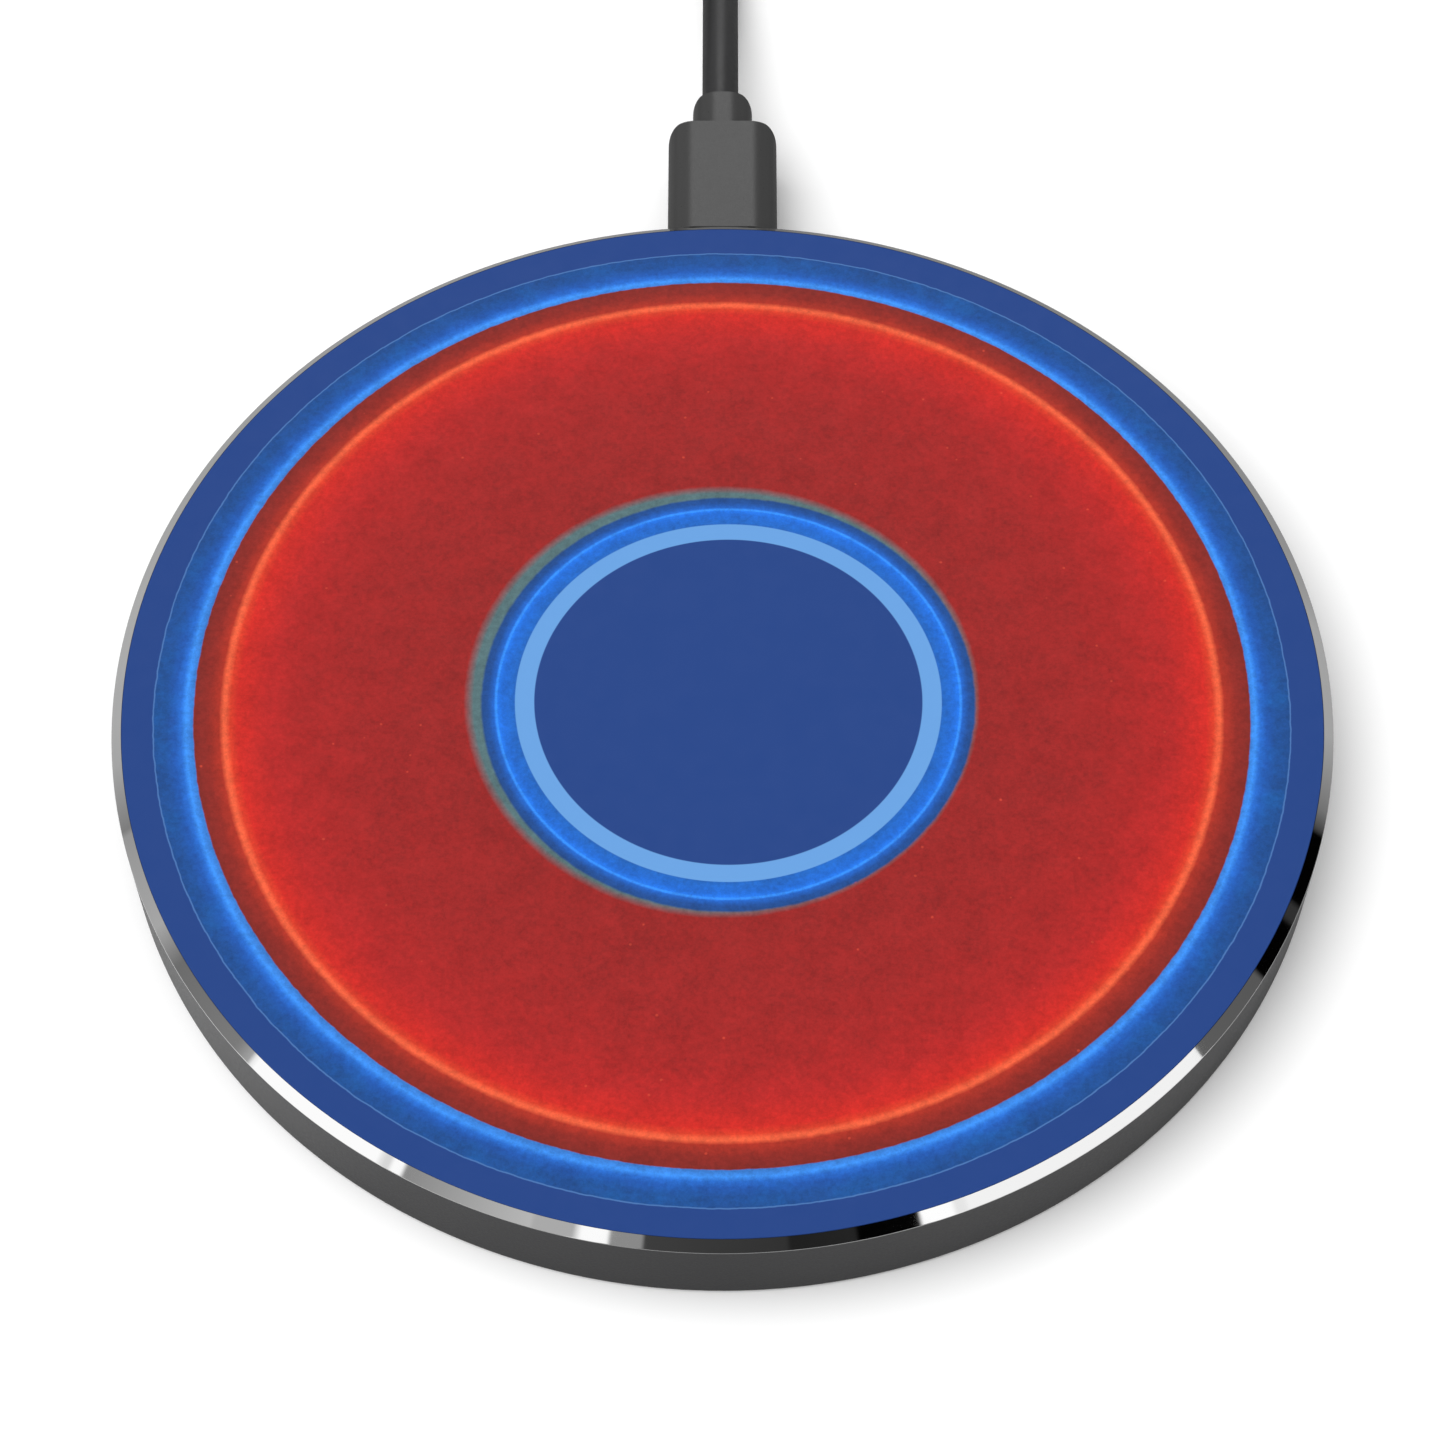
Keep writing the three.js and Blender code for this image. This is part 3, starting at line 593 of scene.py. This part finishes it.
def chip_look():
    look = Look("chip_package", specular=0.35)
    grain = look.noise(0.12, 3.0, 0.7)
    look.colour(look.tinted(srgb(34, 34, 36), grain, 0.18))
    look.roughness(look.spread(grain, 0.3, 0.7, 0.5, 0.68))
    look.bump(grain, 0.01)
    return look.material


def ceramic_look():
    look = Look("capacitor_ceramic", specular=0.45)
    grain = look.noise(0.2, 3.0)
    look.colour(look.tinted(srgb(176, 148, 112), grain, 0.1))
    look.roughness(look.spread(grain, 0.3, 0.7, 0.36, 0.5))
    look.bump(grain, 0.008)
    return look.material


def cable_look():
    """Extruded jacket: satin, with faint streaks along the run and a fine bump."""
    look = Look("cable_jacket", specular=0.5)
    streaks = look.noise(1.2, 3.0, 0.55, (3, 0.4, 3))
    look.colour(look.tinted(srgb(38, 38, 39), streaks, 0.07))
    look.roughness(look.spread(look.noise(0.5, 3.0), 0.3, 0.7, 0.36, 0.46))
    look.bump(look.noise(0.18, 2.0), 0.008)
    return look.material


def fabric_look():
    """Woven strap: threads over and under, with a fuzzy sheen; the raised threads are painted lighter and the
    hollows between them darker, as painted light and shade.
    """
    look = Look("tie_fabric", specular=0.2)
    look.surface.inputs["Sheen Weight"].default_value = 0.35
    look.surface.inputs["Sheen Roughness"].default_value = 0.5
    turned = look.add("ShaderNodeVectorRotate")
    turned.rotation_type = "Z_AXIS"
    turned.inputs["Angle"].default_value = -TIE_ANGLE
    look.put(look.place, turned.inputs["Vector"])
    x, y, z = look.parts(turned.outputs[0])
    pitch = 2 * math.pi / 0.7
    along = look.math("SINE", look.math("MULTIPLY", look.math("ADD", x, z), pitch))
    across = look.math("SINE", look.math("MULTIPLY", y, pitch))
    weave = look.spread(look.math("MULTIPLY", along, across), -1, 1)
    # painted light and shade: light grey where the weave stands up, dark grey where it sinks, following the
    # bump
    look.colour(look.mix(weave, srgb(22, 22, 24), srgb(52, 52, 56)))
    look.roughness(look.spread(look.noise(0.4, 3.0), 0.3, 0.7, 0.8, 0.95))
    look.bump(weave, 0.12)
    return look.material


# --------------------------------------------------------------------------- cable


CORD_D = 3.3
MICRO_USB_LOW, MICRO_USB_HIGH = box_mm("micro_usb_shell")
EXIT = Vector((0, box_mm("micro_usb_strain_relief")[1].y, (MICRO_USB_LOW.z + MICRO_USB_HIGH.z) / 2))
COIL_LOW, COIL_HIGH = box_mm("cable_coil")
COIL_MIDDLE = (COIL_LOW + COIL_HIGH) / 2
LAYERS = 3  # turns across and up in the stored coil
COIL_MEAN_R = (COIL_HIGH.x - COIL_LOW.x) / 2 - LAYERS * CORD_D / 2
FULL_TURNS = 7
LAST_PART_TURN = 0.25
TURN_POINTS = 48
TIE_ANGLE = math.radians(215)
TIE_LIFT = 0.7  # how far the turns rise where the tie passes under them
TIE_LIFT_REACH = 0.45  # radians from the tie within which they rise
COIL_REST = CORD_D / 2 + 0.05  # height of the lowest turns' middle

# Shares of a turn: where the first turn starts to cross to its next place, how much earlier each later turn
# does, so that it has left its place when the next comes, and how long a crossing takes
CROSSING_START = 0.72
CROSSING_EARLIER = 0.035
CROSSING_LENGTH = 0.2
HIDDEN_END = 0.6  # how far the cable goes on inside each strain relief
COIL_POINTS_KEPT = 4  # one in so many
ROUTE_STEP = 1.2

# The same route as the CAD tube's, in millimetres
LEAD_ROUTE = [
    (-0.2, 66.8, 4.6),
    (-0.2, 71, 4.5),
    (-0.2, 76, 3.9),
    (-0.2, 82, 2.9),
    (-0.2, 88, 2.1),
    (-0.1, 94, 1.75),
    (0, 100, 1.7),
    (0, 106.4, 1.7),
]
TAIL_ROUTE = [
    (-35.4, 141.8, 4.8),
    (-41.5, 141.2, 3.4),
    (-47.5, 138.7, 2.2),
    (-52.6, 134.3, 1.75),
    (-56, 129, 2.3),
    (-57.1, 125.5, 3.3),
    (-57.2, 122.3, 3.85),
]


def smooth_step(share):
    share = min(max(share, 0), 1)
    return share * share * (3 - 2 * share)


def coil_points():
    """Turns beside and on each other: out, in and up through the bundle's columns and layers."""
    across = [(1, 0), (0, 0), (-1, 0), (-1, 1), (-1, 2), (0, 2), (0, 1), (1, 1)]
    points = []
    steps = round((FULL_TURNS + LAST_PART_TURN) * TURN_POINTS)
    for k in range(steps + 1):
        turn = k / TURN_POINTS
        number = min(int(turn), len(across) - 2)
        start = CROSSING_START - CROSSING_EARLIER * number
        crossing = smooth_step((turn - number - start) / CROSSING_LENGTH)
        (column, layer), (next_column, next_layer) = across[number], across[number + 1]
        column += (next_column - column) * crossing
        layer += (next_layer - layer) * crossing
        radius = COIL_MEAN_R + column * CORD_D
        angle = 2 * math.pi * turn
        from_tie = math.remainder(angle - TIE_ANGLE, 2 * math.pi)
        lift = TIE_LIFT * math.exp(-((from_tie / TIE_LIFT_REACH) ** 2))
        points.append(Vector((
            COIL_MIDDLE.x + radius * math.cos(angle),
            COIL_MIDDLE.y + radius * math.sin(angle),
            COIL_REST + layer * CORD_D + lift,
        )))
    return points


def rounded_route(points, step):
    """Points a step apart on a smooth curve through the given ones (centripetal Catmull-Rom)."""
    knots = [Vector(p) for p in points]
    knots = [2 * knots[0] - knots[1], *knots, 2 * knots[-1] - knots[-2]]
    route = []
    for a, b, c, d in zip(knots, knots[1:], knots[2:], knots[3:]):
        t1 = (b - a).length ** 0.5
        t2 = t1 + (c - b).length ** 0.5
        t3 = t2 + (d - c).length ** 0.5
        count = max(1, round((c - b).length / step))
        for k in range(count):
            t = t1 + (t2 - t1) * k / count
            ab = a + (b - a) * (t / t1)
            bc = b + (c - b) * ((t - t1) / (t2 - t1))
            cd = c + (d - c) * ((t - t2) / (t3 - t2))
            abc = ab + (bc - ab) * (t / t2)
            bcd = bc + (cd - bc) * ((t - t1) / (t3 - t1))
            route.append(abc + (bcd - abc) * ((t - t1) / (t2 - t1)))
    route.append(knots[-2])
    return route


def cable_path():
    lead = [Vector(p) for p in LEAD_ROUTE]
    tail = [Vector(p) for p in TAIL_ROUTE]
    lead[0].y = EXIT.y - HIDDEN_END
    tail[-1].y = box_mm("usb_a_strain_relief")[1].y - HIDDEN_END
    return rounded_route(lead + coil_points()[::COIL_POINTS_KEPT] + tail, ROUTE_STEP)


def make_cable():
    points = cable_path()
    data = bpy.data.curves.new("cable", "CURVE")
    data.dimensions = "3D"
    data.bevel_depth = CORD_D / 2 * MM
    data.bevel_resolution = 6
    data.use_fill_caps = True
    spline = data.splines.new("POLY")
    spline.points.add(len(points) - 1)
    for point, place in zip(spline.points, points):
        point.co = (*(place * MM), 1)
    spline.use_smooth = True
    cable = add_object("cable", data)
    data.materials.append(cable_look())
    length = sum((b - a).length for a, b in zip(points, points[1:]))
    return cable, length


cable, cable_length = make_cable()

# --------------------------------------------------------------------------- pad


def make_panel():
    low = PANEL_LOW.z
    radius = PANEL_HIGH.x + 0.02
    outline = filleted([(0, low), (radius, low, 0.05), (radius, TOP, 0.05), (0, TOP)], 4)
    return revolve("printed_panel", outline)


BEZEL_LOW = box_mm("bezel_ring")[0]
BASE_LOW, BASE_HIGH = box_mm("base_shell")
LEDGE_INNER_R = 44.5
LEDGE_LOW = 6.0
COLLAR_R = 49.55
CONE_FOOT = 7.48


def make_bezel():
    inner = PANEL_HIGH.x + 0.05
    ledge_top = box_mm("panel_adhesive_ring")[0].z - 0.02
    seat = BASE_HIGH.z + 0.02
    corners = [
        (inner, TOP - 0.02),
        (PAD_R, CONE_FOOT, 0.06),
        (PAD_R, seat, 0.02),
        (COLLAR_R, seat),
        (COLLAR_R, LEDGE_LOW),
        (LEDGE_INNER_R, LEDGE_LOW, 0.1),
        (LEDGE_INNER_R, ledge_top, 0.1),
        (inner, ledge_top),
    ]
    bezel = revolve("bezel", filleted(corners, 4))
    return inner_features(bezel, "bezel_ring", COLLAR_R - 1, BEZEL_LOW.z - 1, LEDGE_LOW + 0.3)


FOOT_LOW, FOOT_HIGH = box_mm("foot_ring")
FOOT_INNER_R = 37.5
WALL_INNER_R = 48.3
LIP_INNER_R = 49.65
FLOOR_TOP = 1.9
BASE_TAPER = 0.21  # how much narrower the base is at its foot
GROOVE_PLAY = 0.08  # beside the foot ring in its groove
SCREW_HEAD_POCKET_R = 2.1
SCREW_HOLE_R = 1.15
PORT_WIDTH = 8.3
PORT_HEIGHT = 3.1


def screw_names():
    return [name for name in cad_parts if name.startswith("case_screw")]


def make_base():
    groove_top = FOOT_HIGH.z + 0.05
    step = LEDGE_LOW - 0.1
    corners = [
        (0, BASE_LOW.z),
        (FOOT_INNER_R - GROOVE_PLAY, BASE_LOW.z, 0.15),
        (FOOT_INNER_R - GROOVE_PLAY, groove_top),
        (FOOT_HIGH.x + GROOVE_PLAY, groove_top),
        (FOOT_HIGH.x + GROOVE_PLAY, BASE_LOW.z, 0.15),
        (PAD_R - BASE_TAPER, BASE_LOW.z, 0.12),
        (PAD_R, BASE_HIGH.z, 0.1),
        (LIP_INNER_R, BASE_HIGH.z, 0.05),
        (LIP_INNER_R, step),
        (WALL_INNER_R, step),
        (WALL_INNER_R, FLOOR_TOP, 0.3),
        (0, FLOOR_TOP),
    ]
    base = revolve("base", filleted(corners, 8))
    inner_features(base, "base_shell", WALL_INNER_R - 0.5, FLOOR_TOP - 0.15, step)
    for name in screw_names():
        low, high = box_mm(name)
        x, y = (low.x + high.x) / 2, (low.y + high.y) / 2
        combine(base, post("pocket", circle(SCREW_HEAD_POCKET_R), 0, FLOOR_TOP, x, y), "DIFFERENCE")
        combine(base, post("hole", circle(SCREW_HOLE_R), 0, high.z, x, y), "DIFFERENCE")
    port = rectangle(PORT_WIDTH, PORT_HEIGHT, 0.5)
    cutter = bar_along_y("port", port, WALL_INNER_R - 2, PAD_R + 1, 0, EXIT.z)
    return combine(base, cutter, "DIFFERENCE")


def make_foot():
    corners = [
        (FOOT_INNER_R, FOOT_LOW.z, 0.25),
        (FOOT_HIGH.x, FOOT_LOW.z, 0.25),
        (FOOT_HIGH.x, FOOT_HIGH.z, 0.1),
        (FOOT_INNER_R, FOOT_HIGH.z, 0.1),
    ]
    return revolve("foot", filleted(corners, 5))


# --------------------------------------------------------------------------- plugs


def moulded_body(name, node, edge_r, corner_r, bevel=0.0, pocket=None):
    """A bar along Y with rounded long edges, a bevel round its near end and its far corners rounded in plan.

    pocket is the node of a metal shell that goes into the near end.
    """
    low, high = box_mm(node)
    width, height = high.x - low.x, high.z - low.z
    x, z = (low.x + high.x) / 2, (low.z + high.z) / 2
    section = rectangle(width, height, edge_r, 12)
    sections = [(section, low.y + bevel), (section, high.y)]
    if bevel:
        sections.insert(0, (rectangle(width - 2 * bevel, height - 2 * bevel, edge_r - bevel, 12), low.y))
    body = loft(name, sections, lambda u, v, depth: (x + u, depth, z + v))
    length = high.y - low.y
    run_on = 2 * corner_r + 1  # the plan runs on past the near end, so that only the far corners are cut
    plan = rectangle(width, length + run_on, corner_r, 12)
    cutter = post("plan", plan, low.z - 1, high.z + 1, x, high.y - (length + run_on) / 2)
    combine(body, cutter, "INTERSECT")
    if pocket:
        shell_low, shell_high = box_mm(pocket)
        hole = rectangle(shell_high.x - shell_low.x + 0.1, shell_high.z - shell_low.z + 0.1, 0.4)
        cutter = bar_along_y("pocket", hole, low.y - 1, shell_high.y + 0.05, x, z)
        combine(body, cutter, "DIFFERENCE")
    return body


TIE_THICKNESS = 0.4
TIE_WIDTH = 7.6
TIE_PLAY = 0.06  # between the tie and the turns
ARC_STEPS = 6  # steps round each corner turn of the bundle


def taut_line(centres, radius):
    """A closed line drawn taut round circles, given anticlockwise by their centres."""
    line = []
    for i, centre in enumerate(centres):
        following = centres[(i + 1) % len(centres)]
        towards = [(centre - centres[i - 1]).normalized(), (following - centre).normalized()]
        start, end = [Vector((along.y, -along.x)) for along in towards]
        turn = end.angle_signed(start)
        for k in range(ARC_STEPS + 1):
            line.append(centre + Matrix.Rotation(turn * k / ARC_STEPS, 2) @ start * radius)
    return line


def make_tie():
    """A strap drawn round the bundle, which comes back over its own start and ends on the inner side."""
    def turn_centre(column, layer):
        return Vector((COIL_MEAN_R + column * CORD_D, COIL_REST + TIE_LIFT + layer * CORD_D))

    outermost = [turn_centre(1, 0), turn_centre(0, 2), turn_centre(-1, 2), turn_centre(-1, 0)]
    corner_points = ARC_STEPS + 1
    around = taut_line(outermost, CORD_D / 2 + TIE_PLAY)
    over = taut_line(outermost, CORD_D / 2 + TIE_PLAY + TIE_THICKNESS + 0.02)
    # from the top, inwards and once round to the top again, then over the start and down the inner side
    top = 2 * corner_points
    start = around[top - 1].lerp(around[top], 0.3)
    lapped = over[top - 1].lerp(over[top], 0.15)
    end = over[top + corner_points - 1].lerp(over[top + corner_points], 0.35)
    line = [start, *around[top:], *around[:top], lapped, *over[top:top + corner_points], end]
    return strap_from_line("tie", line, TIE_THICKNESS, TIE_WIDTH)


def strap_from_line(name, line, thickness, width):
    """A flat strap, so thick, outside a line of (radius, height) points and standing at the tie's angle."""
    builder = bmesh.new()
    rows = []
    for i, point in enumerate(line):
        before = line[max(i - 1, 0)]
        after = line[min(i + 1, len(line) - 1)]
        along = (after - before).normalized()
        outward = Vector((along.y, -along.x))
        row = []
        for offset, side in ((0, -1), (0, 1), (thickness, 1), (thickness, -1)):
            spot = point + outward * offset
            row.append(builder.verts.new((spot.x, side * width / 2, spot.y)))
        rows.append(row)
    for first, second in zip(rows, rows[1:]):
        for k in range(4):
            after = (k + 1) % 4
            builder.faces.new((first[k], first[after], second[after], second[k]))
    builder.faces.new(rows[0])
    builder.faces.new(rows[-1])
    turn = Matrix.Rotation(TIE_ANGLE, 4, "Z")
    builder.transform(Matrix.Translation((COIL_MIDDLE.x, COIL_MIDDLE.y, 0)) @ turn)
    return object_from_bmesh(name, builder)


# --------------------------------------------------------------------------- assembly


def finish_piece(piece, body, slot, material, *nodes):
    weight_normals(piece)
    piece.data.materials.clear()
    piece.data.materials.append(material)
    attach(piece, body)
    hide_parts(*nodes)
    return piece


def paint_nodes(material, *nodes):
    for node in nodes:
        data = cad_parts[node].data
        data.materials.clear()
        data.materials.append(material)


print_material = print_look()
chrome = chrome_look()
base_plastic = moulded_look("base_plastic", srgb(67, 67, 68), roughness=0.42, specular=0.5)
overmould_plastic = moulded_look("lead_overmould", srgb(52, 52, 52), size=0.2, depth=0.006, roughness=0.33,
                                 specular=0.5)
steel = steel_look("plated_steel", (0.62, 0.62, 0.63, 1))
can = steel_look("tinned_can", (0.7, 0.7, 0.68, 1), roughness=0.35)
gold = steel_look("gold_contact", srgb(222, 178, 84), roughness=0.22)
black_insulator = moulded_look("black_insulator", srgb(30, 30, 31))
white_insulator = moulded_look("white_insulator", srgb(232, 231, 226), variation=0.02)
ferrite = ferrite_look()
copper = copper_look()
film = film_look()
chip = chip_look()
ceramic = ceramic_look()
tie_fabric = fabric_look()

finish_piece(make_panel(), "pad", "printed_panel", print_material, "top_panel")
finish_piece(make_bezel(), "pad", "bright_bezel", chrome, "bezel_ring")
finish_piece(make_base(), "pad", "base_plastic", base_plastic, "base_shell")
finish_piece(make_foot(), "pad", "foot_silicone", silicone_look(), "foot_ring")

plug_body = finish_piece(
    moulded_body("plug_body", "micro_usb_overmould", 2.4, 1.15, 0.05, "micro_usb_shell"),
    "lead", "lead_overmould", overmould_plastic, "micro_usb_overmould",
)
plug_relief = finish_piece(
    moulded_body("plug_relief", "micro_usb_strain_relief", 2.25, 1.05),
    "lead", "lead_overmould", overmould_plastic, "micro_usb_strain_relief",
)
usb_a_body = finish_piece(
    moulded_body("usb_a_body", "usb_a_overmould", 2.0, 2.6, 0.3, "usb_a_shell"),
    "lead", "lead_overmould", overmould_plastic, "usb_a_overmould",
)
usb_a_relief = finish_piece(
    moulded_body("usb_a_relief", "usb_a_strain_relief", 2.6, 1.8),
    "lead", "lead_overmould", overmould_plastic, "usb_a_strain_relief",
)
tie = finish_piece(make_tie(), "lead", "tie_fabric", tie_fabric, "cable_tie")

paint_nodes(steel, "usb_receptacle_shell", "micro_usb_shell", "usb_a_shell", "board_screw_1", "board_screw_2",
            *screw_names())
paint_nodes(can, "clock_crystal")
paint_nodes(gold, *[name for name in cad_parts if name.startswith("usb_a_contact")])
paint_nodes(black_insulator, "usb_receptacle_insulator", "micro_usb_insert", "temperature_sensor_lead")
paint_nodes(white_insulator, "usb_a_insulator")
paint_nodes(ferrite, "ferrite_shield", "power_inductor")
paint_nodes(copper, "charging_coil", "coil_lead_inner", "coil_lead_outer")
paint_nodes(film, "coil_film", "panel_adhesive_ring")
paint_nodes(board_look(), "control_board")
paint_nodes(chip, "controller_chip", "bridge_chip_1", "bridge_chip_2", "sense_resistor", "temperature_sensor")
paint_nodes(ceramic, *[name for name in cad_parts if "_capacitor_" in name])

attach(cable, "lead")
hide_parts("cable_lead", "cable_coil", "cable_tail")

# --------------------------------------------------------------------------- room


FLOOR_HALF_WIDTH = 8000
FLOOR_BOUNCE = 0.38  # how much of the light the floor throws back up at the pad's sides
# How light the floor shows in bright and glossy pieces, by the millimetres from the middle towards the right:
# in the half behind the pad's middle, which the bezel mirrors, and in the half before it, which the base does
MIRRORED_BEHIND = [(-110, 0.37), (-35, 0.285), (33, 0.2), (70, 0.24), (150, 0.33)]
MIRRORED_BEFORE = [
    (-46, 0.66),
    (-41, 0.6),
    (-34, 0.46),
    (-28, 0.33),
    (-12, 0.26),
    (0, 0.24),
    (20, 0.36),
    (46, 0.47),
]
MIRRORED_BLEND = 12  # over how many millimetres the one passes into the other


def make_floor():
    """A white floor, which throws back less light than it shows, so that the sides stay in shade."""
    builder = bmesh.new()
    bmesh.ops.create_grid(builder, x_segments=1, y_segments=1, size=FLOOR_HALF_WIDTH)
    floor = object_from_bmesh("floor", builder)
    look = Look("floor", roughness=1.0, specular=0.0)
    path = look.add("ShaderNodeLightPath").outputs
    x, y, _ = look.parts()
    behind, before = [
        look.ramp(x, [(at, (grey, grey, grey, 1)) for at, grey in stops])
        for stops in (MIRRORED_BEHIND, MIRRORED_BEFORE)
    ]
    mirrored = look.mix(look.spread(y, -MIRRORED_BLEND, 0), before, behind)
    grey = look.mix(path["Is Glossy Ray"], (FLOOR_BOUNCE,) * 3 + (1,), mirrored)
    look.colour(look.mix(path["Is Camera Ray"], grey, (1, 1, 1, 1)))
    floor.data.materials.append(look.material)


# What stands round the pad and shows in its bright ring: cards of (azimuth where it starts, grey there, grey
# at its end), each ending where the next starts; azimuths are in degrees from +X
NEAR_CARDS = [
    (-180, 108, 122),
    (-167, 130, 165),
    (-164.4, 251, 251),
    (-142.4, 214, 214),
    (-140.8, 251, 251),
    (-138.9, 134, 182),
    (-118.8, 169, 169),
    (-112, 251, 251),
    (-107.1, 137, 137),
    (-102, 61, 49),
    (-80.1, 31, 35),
    (-69.7, 2, 2),
    (-60.1, 254, 254),
    (-54.9, 228, 228),
    (-53.1, 241, 241),
]
FAR_CARDS = [
    (-14.3, 91, 86),
    (-1.6, 1, 1),
    (6, 48, 48),
    (8.3, 1, 1),
    (17.2, 60, 116),
    (20.3, 118, 158),
    (28.1, 161, 160),
    (51.6, 149, 142),
    (75, 236, 236),
    (105, 160, 170),
    (151, 168, 165),
    (155, 163, 124),
    (162.6, 148, 166),
    (175, 160, 110),
]
CARD_EDGE = 0.2  # half the width in degrees of the change from one card to the next
CEILING = 0.77  # sine of the elevation from which the mirrored room is dark
CEILING_GREY = 60
SOFT_BOX = 2.15  # how bright it is
SOFT_BOX_AZIMUTH = 90
SOFT_BOX_HALF_WIDTH = 22
SOFT_BOX_MIDDLE = 0.77  # sine of its middle's elevation
SOFT_BOX_HALF_HEIGHT = 0.2
KEY_FROM = (-0.45, -0.12, 0.88)
KEY_ANGLE = math.radians(62)  # how wide the key is in the sky


def card_colours(nodes, turn, cards, end):
    """The cards' colours along the azimuth, with a narrow edge between one and the next."""
    stops = []
    ends = [start for start, _, _ in cards[1:]] + [end]
    for (start, first, last), stop in zip(cards, ends):
        for azimuth, grey in ((start + CARD_EDGE, first), (stop - CARD_EDGE, last)):
            stops.append((azimuth, tuple(value / CHROME for value in srgb(grey, grey, grey))))
    return nodes.ramp(turn, stops)


def make_lights():
    """Even light all round and a wide soft key from above on the left; only mirrors see the cards."""
    world = bpy.data.worlds.new("world")
    world.use_nodes = True
    nodes = Nodes(world.node_tree)
    direction = nodes.add("ShaderNodeTexCoord").outputs["Generated"]
    x, y, height = nodes.parts(direction)
    turn = nodes.spread(nodes.math("ARCTAN2", y, x), -math.pi, math.pi, -180, 180)
    far_start = FAR_CARDS[0][0]
    near = card_colours(nodes, turn, NEAR_CARDS, far_start)
    far = card_colours(nodes, turn, FAR_CARDS, 180)
    room = nodes.mix(nodes.math("GREATER_THAN", turn, far_start), near, far)
    room = nodes.mix(nodes.math("GREATER_THAN", height, CEILING), room, srgb(*[CEILING_GREY] * 3))
    # the soft box behind and above the pad, which gives its flat plastic faces their sheen
    aside = nodes.math("ABSOLUTE", nodes.math("SUBTRACT", turn, SOFT_BOX_AZIMUTH))
    above = nodes.math("ABSOLUTE", nodes.math("SUBTRACT", height, SOFT_BOX_MIDDLE))
    in_width = nodes.math("LESS_THAN", aside, SOFT_BOX_HALF_WIDTH)
    in_height = nodes.math("LESS_THAN", above, SOFT_BOX_HALF_HEIGHT)
    soft_box = (SOFT_BOX, SOFT_BOX, SOFT_BOX, 1)
    cards = nodes.mix(nodes.math("MULTIPLY", in_width, in_height), room, soft_box)
    mirrored = nodes.add("ShaderNodeLightPath").outputs["Is Glossy Ray"]
    room_light = nodes.spread(x, -1, 1, ROOM_LIGHT * (1 + ROOM_SLANT), ROOM_LIGHT * (1 - ROOM_SLANT))
    background = nodes.tree.nodes["Background"]
    nodes.put(nodes.mix(mirrored, room_light, cards), background.inputs["Color"])
    bpy.context.scene.world = world

    data = bpy.data.lights.new("key", "SUN")
    data.energy = KEY_LIGHT * math.pi
    data.angle = KEY_ANGLE
    light = add_object("key", data)
    light.visible_glossy = False
    light.rotation_euler = Vector(KEY_FROM).to_track_quat("Z", "Y").to_euler()


make_floor()
make_lights()
bpy.context.scene.view_settings.view_transform = "Standard"
